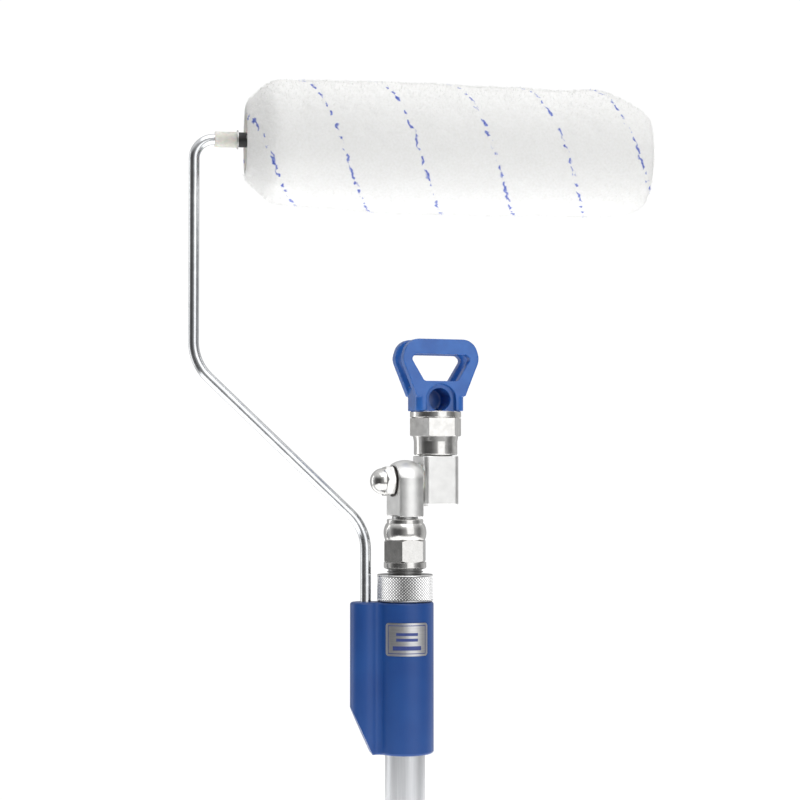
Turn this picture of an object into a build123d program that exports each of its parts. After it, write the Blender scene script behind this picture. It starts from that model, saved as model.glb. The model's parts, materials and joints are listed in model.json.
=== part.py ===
"""Airless spray roller head: a nap roller on a bent wire frame beside a swivelling spray tip guard,
both carried by a moulded housing clamped on an aluminium extension tube.

Millimetres.  +Z runs up the tube, +X along the roller away from the wire, -Y is the front.
The origin is the mouth of the gun nut, on the tube's axis.
"""

import os
from math import cos, degrees, radians, sin, tan

from build123d import *

# ---- Heights along the tube ------------------------------------------------------------------------
HOUSING_TOP = 235.0
HOUSING_HEIGHT = 92.5
AXLE_RISE = 283.0            # roller axle above the housing's top
PIVOT_RISE = 74.0            # swivel pivot above the housing's top

# ---- Roller cover and cage -------------------------------------------------------------------------
COVER_LENGTH = 250.0
COVER_RADIUS = 39.5          # over the pile
COVER_START = -98.5          # end next to the wire's bend
CORE_BORE_RADIUS = 19.05     # trade size, 1 1/2 in
CORE_WALL = 1.6
GLUE_LINE = 0.05
PILE_END_RADIUS = 23.5       # flat of the pile next to the frame
INNER_BEVEL = 16.0           # pile trimmed at 45 degrees next to the frame
OUTER_END_RADIUS = 22.5      # flat of the pile at the free end
OUTER_ROUNDING = 26.0        # longer rounding at the free end
OUTER_BULGE = 0.7            # share of the height still there half way along the rounding
OUTER_END_SLOPE = 0.6        # lean of the rounding where it meets the end
COVER_SLIDE_GAP = 0.35
CAGE_INSET = 4.0             # cage ends sit this far inside the cover
CAP_LENGTH = 14.0
CAP_FACE = 2.5
CAP_RIM = 4.6
CAP_EDGE = 0.8
CAGE_WIRE_RADIUS = 1.5
CAGE_WIRE_COUNT = 5
CAGE_WIRE_INSET = 1.9        # wire centres inside the caps' outside
CAGE_WIRE_FIT = 0.03
DISC_THICKNESS = 3.0
DISC_COUNT = 2
DISC_HOLE_RADIUS = 3.4
DISC_WIRE_GAP = 1.2
BUSH_RADIUS = 5.0
HUB_WALL = 2.2
BUSH_FIT = 0.02
AXLE_RUNNING_FIT = 0.06
NOSE_RADIUS = 4.6            # inner bush's nose, outside the cage
NOSE_END = -103.1
END_GAP = 0.1
POCKET_DEPTH = 4.6           # pocket in the outer cap, round the axle's end
POCKET_RADIUS = 8.4
AXLE_END_INSET = 2.3         # axle end inside the outer cap's face
PLUG_THICKNESS = 1.5
PUSH_NUT_LENGTH = 0.9
PUSH_NUT_RADIUS = 6.2

# ---- Wire frame ------------------------------------------------------------------------------------
WIRE_RADIUS = 3.25
WIRE_REACH = 130.0           # upright of the wire, from the tube's axis
WIRE_FOOT_OFFSET = 24.4      # foot of the wire, from the tube's axis
ELBOW_RISE = 146.0           # corner between upright and diagonal, above the housing
KNEE_RISE = 45.0             # corner between diagonal and foot
AXLE_BEND = 12.0             # centre-line radii
ELBOW_BEND = 30.0
KNEE_BEND = 30.0
SOCKET_DEPTH = 60.0
SOCKET_FIT = 0.05
WIRE_END_CHAMFER = 0.8
SLEEVE_WALL = 1.5
THRUST_WASHER = 0.8
THRUST_WASHER_RADIUS = 5.8

# ---- Extension tube and its fittings ---------------------------------------------------------------
TUBE_RADIUS = 12.2
TUBE_WALL = 2.0
TUBE_START = 26.0
LEDGE = 8.0                  # housing's ledge above the tube's shoulder
HEAD_FLANGE = 3.0
SPIGOT_LENGTH = 12.0
SPIGOT_FIT = 0.02
BORE_RADIUS = 4.5            # fluid passage
THREAD_RADIUS = 11.1         # 7/8 in - 14
THREAD_PITCH = 1.814
THREAD_DEPTH = 0.95
THREAD_FORM = (0.12, 0.45, 0.60, 0.93)   # foot, crest, crest, foot, in pitches
THREAD_FIT = 0.1
THREAD_RISE = 30.0           # end of the head's thread above the housing

# ---- Gun nut ---------------------------------------------------------------------------------------
GUN_NUT_HEIGHT = 24.0
GUN_NUT_ACROSS = 28.0
GUN_THREAD_LENGTH = 10.0
GUN_RELIEF = 4.2
GUN_RELIEF_WALL = 0.6        # relief beyond the thread's radius
FOOT_FLANGE = 3.0
FOOT_STEM_RADIUS = 7.5
GASKET_THICKNESS = 0.8

# ---- Housing ---------------------------------------------------------------------------------------
TUBE_LOBE_RADIUS = 17.6
WIRE_LOBE_RADIUS = 9.6
VALLEY_RADIUS = 4.0
HOUSING_EDGE = 1.6
TUBE_FIT = 0.2
SLANT_RISE = 28.5            # height of the slant under the wire's lobe
SLANT_START = 21.0           # where the slant meets the underside, from the tube's axis
SCREW_RADIUS = 2.5
SCREW_DROP = 30.0            # set screw below the housing's top
SCREW_SOCKET = 1.25
LABEL_WIDTH = 27.4           # round the lobe
LABEL_HEIGHT = 20.0
LABEL_DROP = 12.0            # top of the label below the housing's top
LABEL_THICKNESS = 0.4
LABEL_CORNER = 2.0
LABEL_TURN = -4.0            # degrees towards the wire

# ---- Clamp collar ----------------------------------------------------------------------------------
COLLAR_WASHER = 0.4
COLLAR_GAP = 0.1
COLLAR_RADIUS = 17.4
COLLAR_HEIGHT = 16.2
COLLAR_EDGE = 1.6

# ---- Swivel nut ------------------------------------------------------------------------------------
SWIVEL_NUT_RISE = 20.4       # underside above the housing's top
NUT_RING_HEIGHT = 3.7
NUT_RING_RADIUS = 13.1
NUT_HEX_HEIGHT = 13.9
NUT_HEX_ACROSS = 24.0
NUT_HEX_TURN = 15.0
NUT_BARREL_HEIGHT = 9.9
NUT_BARREL_FOOT = 13.2
NUT_BARREL_TOP = 11.7
NUT_CROWN_HEIGHT = 2.7
NUT_CROWN_RADIUS = 11.2
NUT_EDGE = 0.6
NUT_BARREL_DRAW = 0.9        # barrel's ends, inside its bulge
NUT_BULGE_LEVEL = 0.38       # share of the barrel's height
STEM_NECK_RADIUS = 8.0
STEM_FLANGE_RADIUS = 10.6
STEM_FLANGE_HEIGHT = 3.8
STEM_THREAD_RADIUS = 6.5
STEM_THREAD_LENGTH = 7.5
STEM_GASKET = 2.0
STEM_GASKET_RADIUS = 9.6
INLET_PORT_RADIUS = 3.0
TURN_GAP = 0.1               # running clearance of stems, radial and axial
CUT_MARGIN = 0.1             # cutting outlines reach this far past the stock

# ---- Swivel ----------------------------------------------------------------------------------------
SWIVEL_TURN = 12.0           # whole swivel turned about the tube's axis, degrees
SWIVEL_BAR_RADIUS = 14.6
SWIVEL_HALF_WIDTH = 7.9      # flats, from the tube's axis
SWIVEL_FOOT_RISE = 52.4
SWIVEL_TOP_RISE = 13.0       # domed top, above the pivot
SWIVEL_DOME = 11.0
SWIVEL_EDGE = 0.8
PIVOT_RADIUS = 6.5
PIVOT_FIT = 0.05
RING_GROOVE_DEPTH = 1.7
RING_SECTION = 0.8
RING_OFFSET = 4.3
GROOVE_HALF = 0.96
PIVOT_GAP = 0.7              # between the two swivel bodies
PIVOT_THREAD_RADIUS = 5.0
PIVOT_WASHER_RADIUS = 11.0
FLUID_PORT_RADIUS = 2.0
CAP_WASHER_RADIUS = 9.6
CAP_WASHER = 0.7
CAP_NUT_ACROSS = 17.0
CAP_NUT_HEX = 5.8
CAP_NUT_DOME = 7.9
CAP_DOME_RADIUS = 8.0
CAP_NUT_TURN = 8.0

# ---- Outlet body -----------------------------------------------------------------------------------
OUTLET_WIDTH = 23.2
OUTLET_DEPTH = 24.0
OUTLET_BELOW = 15.4          # below and above the pivot
OUTLET_ABOVE = 15.5
OUTLET_CORNER = 3.6
OUTLET_FOOT_EDGE = 2.0
OUTLET_THREAD_LENGTH = 16.0

# ---- Guard nut -------------------------------------------------------------------------------------
GUARD_NUT_GAP = 0.6          # above the outlet body
GUARD_NUT_SLEEVE = 10.5
GUARD_NUT_SLEEVE_RADIUS = 13.5
GUARD_NUT_FLARE = 2.2
GUARD_NUT_ACROSS = 28.6
GUARD_NUT_HEX = 11.2
GUARD_NUT_TURN = 7.0
GUARD_NUT_CROWN = 4.3
GUARD_NUT_CROWN_RADIUS = 15.9
GUARD_NUT_LIP = 2.2
GUARD_NUT_WALL_RADIUS = 13.4
GUARD_NECK_RADIUS = 11.7

# ---- Tip guard -------------------------------------------------------------------------------------
GUARD_WIDTH = 32.0
GUARD_DEPTH = 20.6
GUARD_BASE_HEIGHT = 14.4
GUARD_CORNER = 5.0
TIP_BORE_RADIUS = 7.0
TIP_BORE_RISE = 7.1          # bore's centre above the guard's underside
ARCH_RADIUS = 10.6
RECESS_RADIUS = 9.6          # arched recess in the front, round the bore
RECESS_DEPTH = 3.2
BORE_END_WALL = 2.0          # closed back end of the bore
WING_OFFSET = 7.6
WING_THICKNESS = 5.4
WING_HEIGHT = 44.3
WING_SHOULDER = 32.0         # widest level, above the guard's underside
WING_WIDTH = 51.0
WING_TOP_WIDTH = 43.0
WING_FLARE_START = 9.0
WINDOW_BOTTOM = 18.4
WINDOW_SHOULDER = 32.2
WINDOW_TOP = 34.9
WINDOW_BOTTOM_WIDTH = 22.0
WINDOW_WIDTH = 39.0
WINDOW_TOP_WIDTH = 33.0
WING_ROUNDING = 10.0
WINDOW_ROUNDING = 2.0
SPRAY_SLOT_RADIUS = 2.4
SEAT_RADIUS = 3.6
SEAT_FLANGE_RADIUS = 7.0
SEAT_FIT = 0.05
SEAL_RADIUS = 8.0
SEAL_THICKNESS = 1.4
SNAP_RING_HEIGHT = 1.5
SNAP_GROOVE_RADIUS = 10.9
SNAP_RING_GAP = 4.0

# ---- Worked-out levels and places ------------------------------------------------------------------
HOUSING_BOTTOM = HOUSING_TOP - HOUSING_HEIGHT
SHOULDER = HOUSING_TOP - LEDGE
TUBE_END = SHOULDER - HEAD_FLANGE
TUBE_BORE = TUBE_RADIUS - TUBE_WALL
THREAD_BORE = THREAD_RADIUS + THREAD_FIT
THREAD_END = HOUSING_TOP + THREAD_RISE
AXLE_HEIGHT = HOUSING_TOP + AXLE_RISE
PIVOT_HEIGHT = HOUSING_TOP + PIVOT_RISE
COVER_END = COVER_START + COVER_LENGTH
CORE_RADIUS = CORE_BORE_RADIUS + CORE_WALL
CAGE_RADIUS = CORE_BORE_RADIUS - COVER_SLIDE_GAP
CAGE_START = COVER_START + CAGE_INSET
CAGE_END = COVER_END - CAGE_INSET
CAGE_WIRE_CIRCLE = CAGE_RADIUS - CAGE_WIRE_INSET
AXLE_END = CAGE_END - AXLE_END_INSET

ALONG = Vector(cos(radians(SWIVEL_TURN)), sin(radians(SWIVEL_TURN)), 0)
FRONT = Vector(sin(radians(SWIVEL_TURN)), -cos(radians(SWIVEL_TURN)), 0)
UP = Vector(0, 0, 1)
OUTLET_START = SWIVEL_HALF_WIDTH + PIVOT_GAP
OUTLET_OFFSET = OUTLET_START + OUTLET_WIDTH / 2
OUTLET_CENTRE = ALONG * OUTLET_OFFSET

TUBE_SIDE = Plane.XZ
ROLLER_SIDE = Plane(origin=(0, 0, AXLE_HEIGHT), x_dir=(1, 0, 0), z_dir=(0, -1, 0))
ROLLER_AXIS = Axis((0, 0, AXLE_HEIGHT), (1, 0, 0))
PIVOT_SIDE = Plane(origin=(0, 0, PIVOT_HEIGHT), x_dir=ALONG, z_dir=FRONT)
PIVOT_AXIS = Axis((0, 0, PIVOT_HEIGHT), ALONG)
OUTLET_SIDE = Plane(origin=OUTLET_CENTRE, x_dir=ALONG, z_dir=FRONT)
OUTLET_AXIS = Axis(OUTLET_CENTRE, UP)


def outline(side, *points):
    """A closed profile on a side plane, from (across, up) points."""
    with BuildSketch(side) as profile:
        with BuildLine():
            Polyline(*points, close=True)
        make_face()
    return profile.sketch


def tube_ring(inner, outer, low, high):
    """Half section of a plain ring about the tube's axis."""
    return outline(TUBE_SIDE, (inner, low), (outer, low), (outer, high), (inner, high))


def outlet_ring(inner, outer, low, high):
    """The same about the outlet's axis."""
    return outline(OUTLET_SIDE, (inner, low), (outer, low), (outer, high), (inner, high))


def axle_ring(inner, outer, start, end):
    """The same about the roller's axle."""
    return outline(ROLLER_SIDE, (start, inner), (end, inner), (end, outer), (start, outer))


def pivot_ring(inner, outer, start, end):
    """The same about the swivel's pivot."""
    return outline(PIVOT_SIDE, (start, inner), (end, inner), (end, outer), (start, outer))


def hex_chamfer(across, low, high, face_radius):
    """Half section that turns a hexagon's corners down at 30 degrees."""
    corner = across / 2 / cos(radians(30)) + CUT_MARGIN
    drop = (corner - face_radius) * tan(radians(30))
    return (
        (0, low),
        (face_radius, low),
        (corner, low + drop),
        (corner, high - drop),
        (face_radius, high),
        (0, high),
    )


def thread_rings(radius, start, end):
    """Half section of a threaded rod: V rings from start to end."""
    points = [(0, start), (radius - THREAD_DEPTH, start)]
    turns = int((end - start) / THREAD_PITCH)
    for turn in range(turns):
        foot = start + turn * THREAD_PITCH
        for share, level in zip(THREAD_FORM, (radius - THREAD_DEPTH, radius, radius, radius - THREAD_DEPTH)):
            points.append((level, foot + THREAD_PITCH * share))
    points.append((radius - THREAD_DEPTH, end))
    points.append((0, end))
    return points


pieces = []


def keep(builder, label):
    """Name a finished piece and put it on the list to write."""
    builder.part.label = label
    pieces.append(builder.part)


# ---- Extension tube --------------------------------------------------------------------------------
with BuildPart() as extension_tube:
    revolve(tube_ring(TUBE_BORE, TUBE_RADIUS, TUBE_START, TUBE_END), axis=Axis.Z)
keep(extension_tube, "extension_tube")

# Threaded head, pressed into the tube's top.  Its flange is the shoulder that the housing sits on.
with BuildPart() as tube_head:
    revolve(tube_ring(0, TUBE_RADIUS, TUBE_END, SHOULDER), axis=Axis.Z)
    revolve(tube_ring(0, TUBE_BORE - SPIGOT_FIT, TUBE_END - SPIGOT_LENGTH, TUBE_END), axis=Axis.Z)
    revolve(outline(TUBE_SIDE, *thread_rings(THREAD_RADIUS, SHOULDER, THREAD_END)), axis=Axis.Z)
    with Locations((0, 0, THREAD_END)):
        Hole(BORE_RADIUS)
keep(tube_head, "tube_head")

# Foot fitting, pressed into the tube's lower end.  Its flange is caught inside the gun nut.
GUN_SHELF = GUN_THREAD_LENGTH + GUN_RELIEF
GUN_RELIEF_RADIUS = THREAD_RADIUS + GUN_RELIEF_WALL
FLANGE_TOP = GUN_SHELF - TURN_GAP
FLANGE_BOTTOM = FLANGE_TOP - FOOT_FLANGE
with BuildPart() as tube_foot:
    revolve(tube_ring(0, THREAD_RADIUS - TURN_GAP, FLANGE_BOTTOM, FLANGE_TOP), axis=Axis.Z)
    revolve(tube_ring(0, FOOT_STEM_RADIUS, FLANGE_TOP, TUBE_START), axis=Axis.Z)
    revolve(tube_ring(0, TUBE_RADIUS, GUN_NUT_HEIGHT + TURN_GAP, TUBE_START), axis=Axis.Z)
    revolve(tube_ring(0, TUBE_BORE - SPIGOT_FIT, TUBE_START, TUBE_START + SPIGOT_LENGTH), axis=Axis.Z)
    with Locations((0, 0, TUBE_START + SPIGOT_LENGTH)):
        Hole(BORE_RADIUS)
keep(tube_foot, "tube_foot")

# ---- Gun nut ---------------------------------------------------------------------------------------
with BuildPart() as gun_nut:
    with BuildSketch(Plane.XY):
        RegularPolygon(GUN_NUT_ACROSS / 2, 6, major_radius=False)
    extrude(amount=GUN_NUT_HEIGHT)
    chamfered = hex_chamfer(GUN_NUT_ACROSS, 0, GUN_NUT_HEIGHT, GUN_NUT_ACROSS / 2)
    revolve(outline(TUBE_SIDE, *chamfered), axis=Axis.Z, mode=Mode.INTERSECT)
    revolve(tube_ring(0, THREAD_BORE, 0, GUN_THREAD_LENGTH), axis=Axis.Z, mode=Mode.SUBTRACT)
    revolve(tube_ring(0, GUN_RELIEF_RADIUS, GUN_THREAD_LENGTH, GUN_SHELF), axis=Axis.Z, mode=Mode.SUBTRACT)
    with Locations((0, 0, GUN_NUT_HEIGHT)):
        Hole(FOOT_STEM_RADIUS + TURN_GAP)
keep(gun_nut, "gun_nut")

with BuildPart() as gun_gasket:
    revolve(
        tube_ring(
            BORE_RADIUS,
            THREAD_RADIUS - 2 * TURN_GAP,
            FLANGE_BOTTOM - GASKET_THICKNESS,
            FLANGE_BOTTOM,
        ),
        axis=Axis.Z,
    )
keep(gun_gasket, "gun_gasket")

# ---- Housing: two lobes, one over the tube and one over the wire's foot ----------------------------
with BuildPart() as housing:
    with BuildSketch(Plane.XY.offset(HOUSING_BOTTOM)) as lobes:
        Circle(TUBE_LOBE_RADIUS)
        with Locations((-WIRE_FOOT_OFFSET, 0)):
            Circle(WIRE_LOBE_RADIUS)
        fillet(lobes.vertices(), VALLEY_RADIUS)
    extrude(amount=HOUSING_HEIGHT)
    fillet(housing.faces().sort_by(Axis.Z)[-1].edges(), HOUSING_EDGE)
    fillet(housing.faces().sort_by(Axis.Z)[0].edges(), HOUSING_EDGE)
    # the wire's lobe stops short of the underside in a slant
    with BuildSketch(Plane.XZ):
        with BuildLine():
            Polyline(
                (-SLANT_START, HOUSING_BOTTOM - HOUSING_EDGE),
                (-SLANT_START, HOUSING_BOTTOM),
                (-WIRE_FOOT_OFFSET - WIRE_LOBE_RADIUS, HOUSING_BOTTOM + SLANT_RISE),
                (-WIRE_FOOT_OFFSET - 2 * WIRE_LOBE_RADIUS, HOUSING_BOTTOM + SLANT_RISE),
                (-WIRE_FOOT_OFFSET - 2 * WIRE_LOBE_RADIUS, HOUSING_BOTTOM - HOUSING_EDGE),
                close=True,
            )
        make_face()
    extrude(amount=TUBE_LOBE_RADIUS, both=True, mode=Mode.SUBTRACT)
    with Locations((0, 0, HOUSING_TOP)):
        Hole(THREAD_RADIUS + TUBE_FIT, depth=LEDGE)
    with BuildSketch(Plane.XY.offset(HOUSING_BOTTOM)):
        Circle(TUBE_RADIUS + TUBE_FIT)
    extrude(amount=HOUSING_HEIGHT - LEDGE, mode=Mode.SUBTRACT)
    with Locations((-WIRE_FOOT_OFFSET, 0, HOUSING_TOP)):
        Hole(WIRE_RADIUS + SOCKET_FIT, depth=SOCKET_DEPTH)
    with BuildSketch(Plane.XZ):
        with Locations((-WIRE_FOOT_OFFSET, HOUSING_TOP - SCREW_DROP)):
            Circle(SCREW_RADIUS + SOCKET_FIT)
    extrude(amount=-TUBE_LOBE_RADIUS, mode=Mode.SUBTRACT)
keep(housing, "housing")

# Set screw from the back, tightened on the wire's foot.
with BuildPart() as frame_set_screw:
    with BuildSketch(Plane.XZ.offset(-WIRE_RADIUS)):
        with Locations((-WIRE_FOOT_OFFSET, HOUSING_TOP - SCREW_DROP)):
            Circle(SCREW_RADIUS)
    extrude(amount=WIRE_RADIUS - WIRE_LOBE_RADIUS + HOUSING_EDGE / 2)
    with BuildSketch(Plane(frame_set_screw.faces().sort_by(Axis.Y)[-1])):
        RegularPolygon(SCREW_SOCKET, 6, major_radius=False)
    extrude(amount=-SCREW_RADIUS, mode=Mode.SUBTRACT)
keep(frame_set_screw, "frame_set_screw")

# Blank metal label, curved round the tube's lobe.
LABEL_INNER = TUBE_LOBE_RADIUS + GLUE_LINE
with BuildPart() as label_plate:
    half_angle = degrees(LABEL_WIDTH / TUBE_LOBE_RADIUS / 2)
    first_angle = -90 + LABEL_TURN - half_angle
    with BuildSketch(Plane.XY.offset(HOUSING_TOP - LABEL_DROP - LABEL_HEIGHT)):
        with BuildLine():
            inner = CenterArc((0, 0), LABEL_INNER, first_angle, 2 * half_angle)
            outer = CenterArc((0, 0), LABEL_INNER + LABEL_THICKNESS, first_angle, 2 * half_angle)
            Line(inner @ 0, outer @ 0)
            Line(inner @ 1, outer @ 1)
        make_face()
    extrude(amount=LABEL_HEIGHT)
    corners = label_plate.edges().filter_by(lambda edge: edge.length < 2 * LABEL_THICKNESS)
    fillet(corners, LABEL_CORNER)
keep(label_plate, "label_plate")

# ---- Wire frame: one rod, bent three times ---------------------------------------------------------
with BuildPart() as frame_wire:
    with BuildLine(Plane.XZ) as route:
        FilletPolyline(
            (AXLE_END, AXLE_HEIGHT),
            (-WIRE_REACH, AXLE_HEIGHT),
            (-WIRE_REACH, HOUSING_TOP + ELBOW_RISE),
            (-WIRE_FOOT_OFFSET, HOUSING_TOP + KNEE_RISE),
            (-WIRE_FOOT_OFFSET, HOUSING_TOP - SOCKET_DEPTH + END_GAP),
            radius=[AXLE_BEND, ELBOW_BEND, KNEE_BEND],
        )
    with BuildSketch(Plane(origin=route.line @ 0, z_dir=route.line % 0)):
        Circle(WIRE_RADIUS)
    sweep()
    chamfer(frame_wire.edges().sort_by(Axis.X)[-1], WIRE_END_CHAMFER)
keep(frame_wire, "frame_wire")

# ---- On the axle, from the bend outwards -----------------------------------------------------------
AXLE_SLIP = WIRE_RADIUS + AXLE_RUNNING_FIT
WASHER_START = NOSE_END - END_GAP - THRUST_WASHER
SLEEVE_START = -WIRE_REACH + AXLE_BEND + 5 * END_GAP
SLEEVE_END = WASHER_START - END_GAP
with BuildPart() as axle_sleeve:
    revolve(axle_ring(AXLE_SLIP, AXLE_SLIP + SLEEVE_WALL, SLEEVE_START, SLEEVE_END), axis=ROLLER_AXIS)
keep(axle_sleeve, "axle_sleeve")

POCKET_FLOOR = CAGE_END - POCKET_DEPTH
OUTER_WASHER_START = POCKET_FLOOR + END_GAP
with BuildPart() as thrust_washers:
    for start in (WASHER_START, OUTER_WASHER_START):
        revolve(axle_ring(AXLE_SLIP, THRUST_WASHER_RADIUS, start, start + THRUST_WASHER), axis=ROLLER_AXIS)
keep(thrust_washers, "thrust_washers")

PUSH_NUT_START = OUTER_WASHER_START + THRUST_WASHER + END_GAP
with BuildPart() as push_nut:
    revolve(
        axle_ring(WIRE_RADIUS, PUSH_NUT_RADIUS, PUSH_NUT_START, PUSH_NUT_START + PUSH_NUT_LENGTH),
        axis=ROLLER_AXIS,
    )
keep(push_nut, "push_nut")


# ---- Cage: two end caps, five rods, two discs, two bushes and an end plug --------------------------
def rod_circle(plane):
    """The rods' places, on a plane square to the axle."""
    with BuildSketch(plane) as holes:
        with PolarLocations(CAGE_WIRE_CIRCLE, CAGE_WIRE_COUNT):
            Circle(CAGE_WIRE_RADIUS + CAGE_WIRE_FIT)
    return holes.sketch


def axle_plane(across):
    """Plane square to the axle at a distance along it."""
    return Plane(origin=(across, 0, AXLE_HEIGHT), x_dir=(0, 1, 0), z_dir=(1, 0, 0))


HUB_RADIUS = BUSH_RADIUS + HUB_WALL
INNER_CAP_END = CAGE_START + CAP_LENGTH
OUTER_CAP_START = CAGE_END - CAP_LENGTH
with BuildPart() as cage_cap_inner:
    revolve(axle_ring(BUSH_RADIUS + BUSH_FIT, CAGE_RADIUS, CAGE_START, INNER_CAP_END), axis=ROLLER_AXIS)
    revolve(
        axle_ring(HUB_RADIUS, CAGE_RADIUS - CAP_RIM, CAGE_START + CAP_FACE, INNER_CAP_END),
        axis=ROLLER_AXIS,
        mode=Mode.SUBTRACT,
    )
    extrude(rod_circle(axle_plane(CAGE_START + CAP_FACE)), amount=CAP_LENGTH, mode=Mode.SUBTRACT)
    face_edges = cage_cap_inner.edges().filter_by(GeomType.CIRCLE).group_by(Axis.X)[0]
    chamfer(face_edges.sort_by(SortBy.RADIUS)[-1], CAP_EDGE)
keep(cage_cap_inner, "cage_cap_inner")

with BuildPart() as cage_cap_outer:
    revolve(axle_ring(BUSH_RADIUS + BUSH_FIT, CAGE_RADIUS, OUTER_CAP_START, CAGE_END), axis=ROLLER_AXIS)
    revolve(axle_ring(0, POCKET_RADIUS, POCKET_FLOOR, CAGE_END), axis=ROLLER_AXIS, mode=Mode.SUBTRACT)
    revolve(
        axle_ring(HUB_RADIUS, CAGE_RADIUS - CAP_RIM, OUTER_CAP_START, POCKET_FLOOR - CAP_FACE),
        axis=ROLLER_AXIS,
        mode=Mode.SUBTRACT,
    )
    extrude(rod_circle(axle_plane(CAGE_END - CAP_FACE)), amount=-CAP_LENGTH, mode=Mode.SUBTRACT)
    face_edges = cage_cap_outer.edges().filter_by(GeomType.CIRCLE).group_by(Axis.X)[-1]
    chamfer(face_edges.sort_by(SortBy.RADIUS)[-1], CAP_EDGE)
keep(cage_cap_outer, "cage_cap_outer")

with BuildPart() as cage_plug:
    revolve(
        axle_ring(0, POCKET_RADIUS - CAGE_WIRE_FIT, CAGE_END - PLUG_THICKNESS, CAGE_END),
        axis=ROLLER_AXIS,
    )
keep(cage_plug, "cage_plug")

with BuildPart() as cage_bushes:
    revolve(axle_ring(AXLE_SLIP, BUSH_RADIUS, CAGE_START, INNER_CAP_END), axis=ROLLER_AXIS)
    revolve(axle_ring(AXLE_SLIP, NOSE_RADIUS, NOSE_END, CAGE_START), axis=ROLLER_AXIS)
    revolve(axle_ring(AXLE_SLIP, BUSH_RADIUS, OUTER_CAP_START, POCKET_FLOOR), axis=ROLLER_AXIS)
keep(cage_bushes, "cage_bushes")

with BuildPart() as cage_rods:
    with BuildSketch(axle_plane(CAGE_START + CAP_FACE + END_GAP)):
        with PolarLocations(CAGE_WIRE_CIRCLE, CAGE_WIRE_COUNT):
            Circle(CAGE_WIRE_RADIUS)
    extrude(amount=CAGE_END - CAGE_START - 2 * CAP_FACE - 2 * END_GAP)
keep(cage_rods, "cage_rods")

DISC_SPACING = (CAGE_END - CAGE_START) / (DISC_COUNT + 1)
with BuildPart() as cage_discs:
    for number in range(1, DISC_COUNT + 1):
        disc_plane = axle_plane(CAGE_START + number * DISC_SPACING)
        with BuildSketch(disc_plane):
            Circle(CAGE_RADIUS)
            Circle(WIRE_RADIUS + DISC_WIRE_GAP, mode=Mode.SUBTRACT)
            with PolarLocations(CAGE_RADIUS / 2, CAGE_WIRE_COUNT, start_angle=180 / CAGE_WIRE_COUNT):
                Circle(DISC_HOLE_RADIUS, mode=Mode.SUBTRACT)
            with PolarLocations(CAGE_WIRE_CIRCLE, CAGE_WIRE_COUNT):
                Circle(CAGE_WIRE_RADIUS + CAGE_WIRE_FIT, mode=Mode.SUBTRACT)
        extrude(amount=DISC_THICKNESS)
keep(cage_discs, "cage_discs")

# ---- Roller cover: a resin-paper core and the pile on it -------------------------------------------
with BuildPart() as cover_core:
    revolve(axle_ring(CORE_BORE_RADIUS, CORE_RADIUS, COVER_START, COVER_END), axis=ROLLER_AXIS)
keep(cover_core, "cover_core")

NAP_BORE = CORE_RADIUS + GLUE_LINE
with BuildPart() as cover_nap:
    rounding_middle = (
        COVER_END - OUTER_ROUNDING / 2,
        OUTER_END_RADIUS + (COVER_RADIUS - OUTER_END_RADIUS) * OUTER_BULGE,
    )
    with BuildSketch(ROLLER_SIDE):
        with BuildLine():
            Polyline(
                (COVER_END, OUTER_END_RADIUS),
                (COVER_END, NAP_BORE),
                (COVER_START, NAP_BORE),
                (COVER_START, PILE_END_RADIUS),
                (COVER_START + INNER_BEVEL, COVER_RADIUS),
                (COVER_END - OUTER_ROUNDING, COVER_RADIUS),
            )
            Spline(
                (COVER_END - OUTER_ROUNDING, COVER_RADIUS),
                rounding_middle,
                (COVER_END, OUTER_END_RADIUS),
                tangents=((1, 0), (OUTER_END_SLOPE, -1)),
            )
        make_face()
    revolve(axis=ROLLER_AXIS)
keep(cover_nap, "cover_nap")

# ---- Clamp collar, screwed down on the housing's top -----------------------------------------------
COLLAR_START = HOUSING_TOP + COLLAR_WASHER + COLLAR_GAP
with BuildPart() as collar_washer:
    revolve(
        tube_ring(
            THREAD_BORE + TUBE_FIT,
            COLLAR_RADIUS - COLLAR_EDGE / 2,
            HOUSING_TOP,
            HOUSING_TOP + COLLAR_WASHER,
        ),
        axis=Axis.Z,
    )
keep(collar_washer, "collar_washer")

with BuildPart() as clamp_collar:
    revolve(tube_ring(THREAD_BORE, COLLAR_RADIUS, COLLAR_START, COLLAR_START + COLLAR_HEIGHT), axis=Axis.Z)
    rims = clamp_collar.edges().filter_by(GeomType.CIRCLE).group_by(SortBy.RADIUS)[-1]
    fillet(rims, COLLAR_EDGE)
keep(clamp_collar, "clamp_collar")

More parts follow.
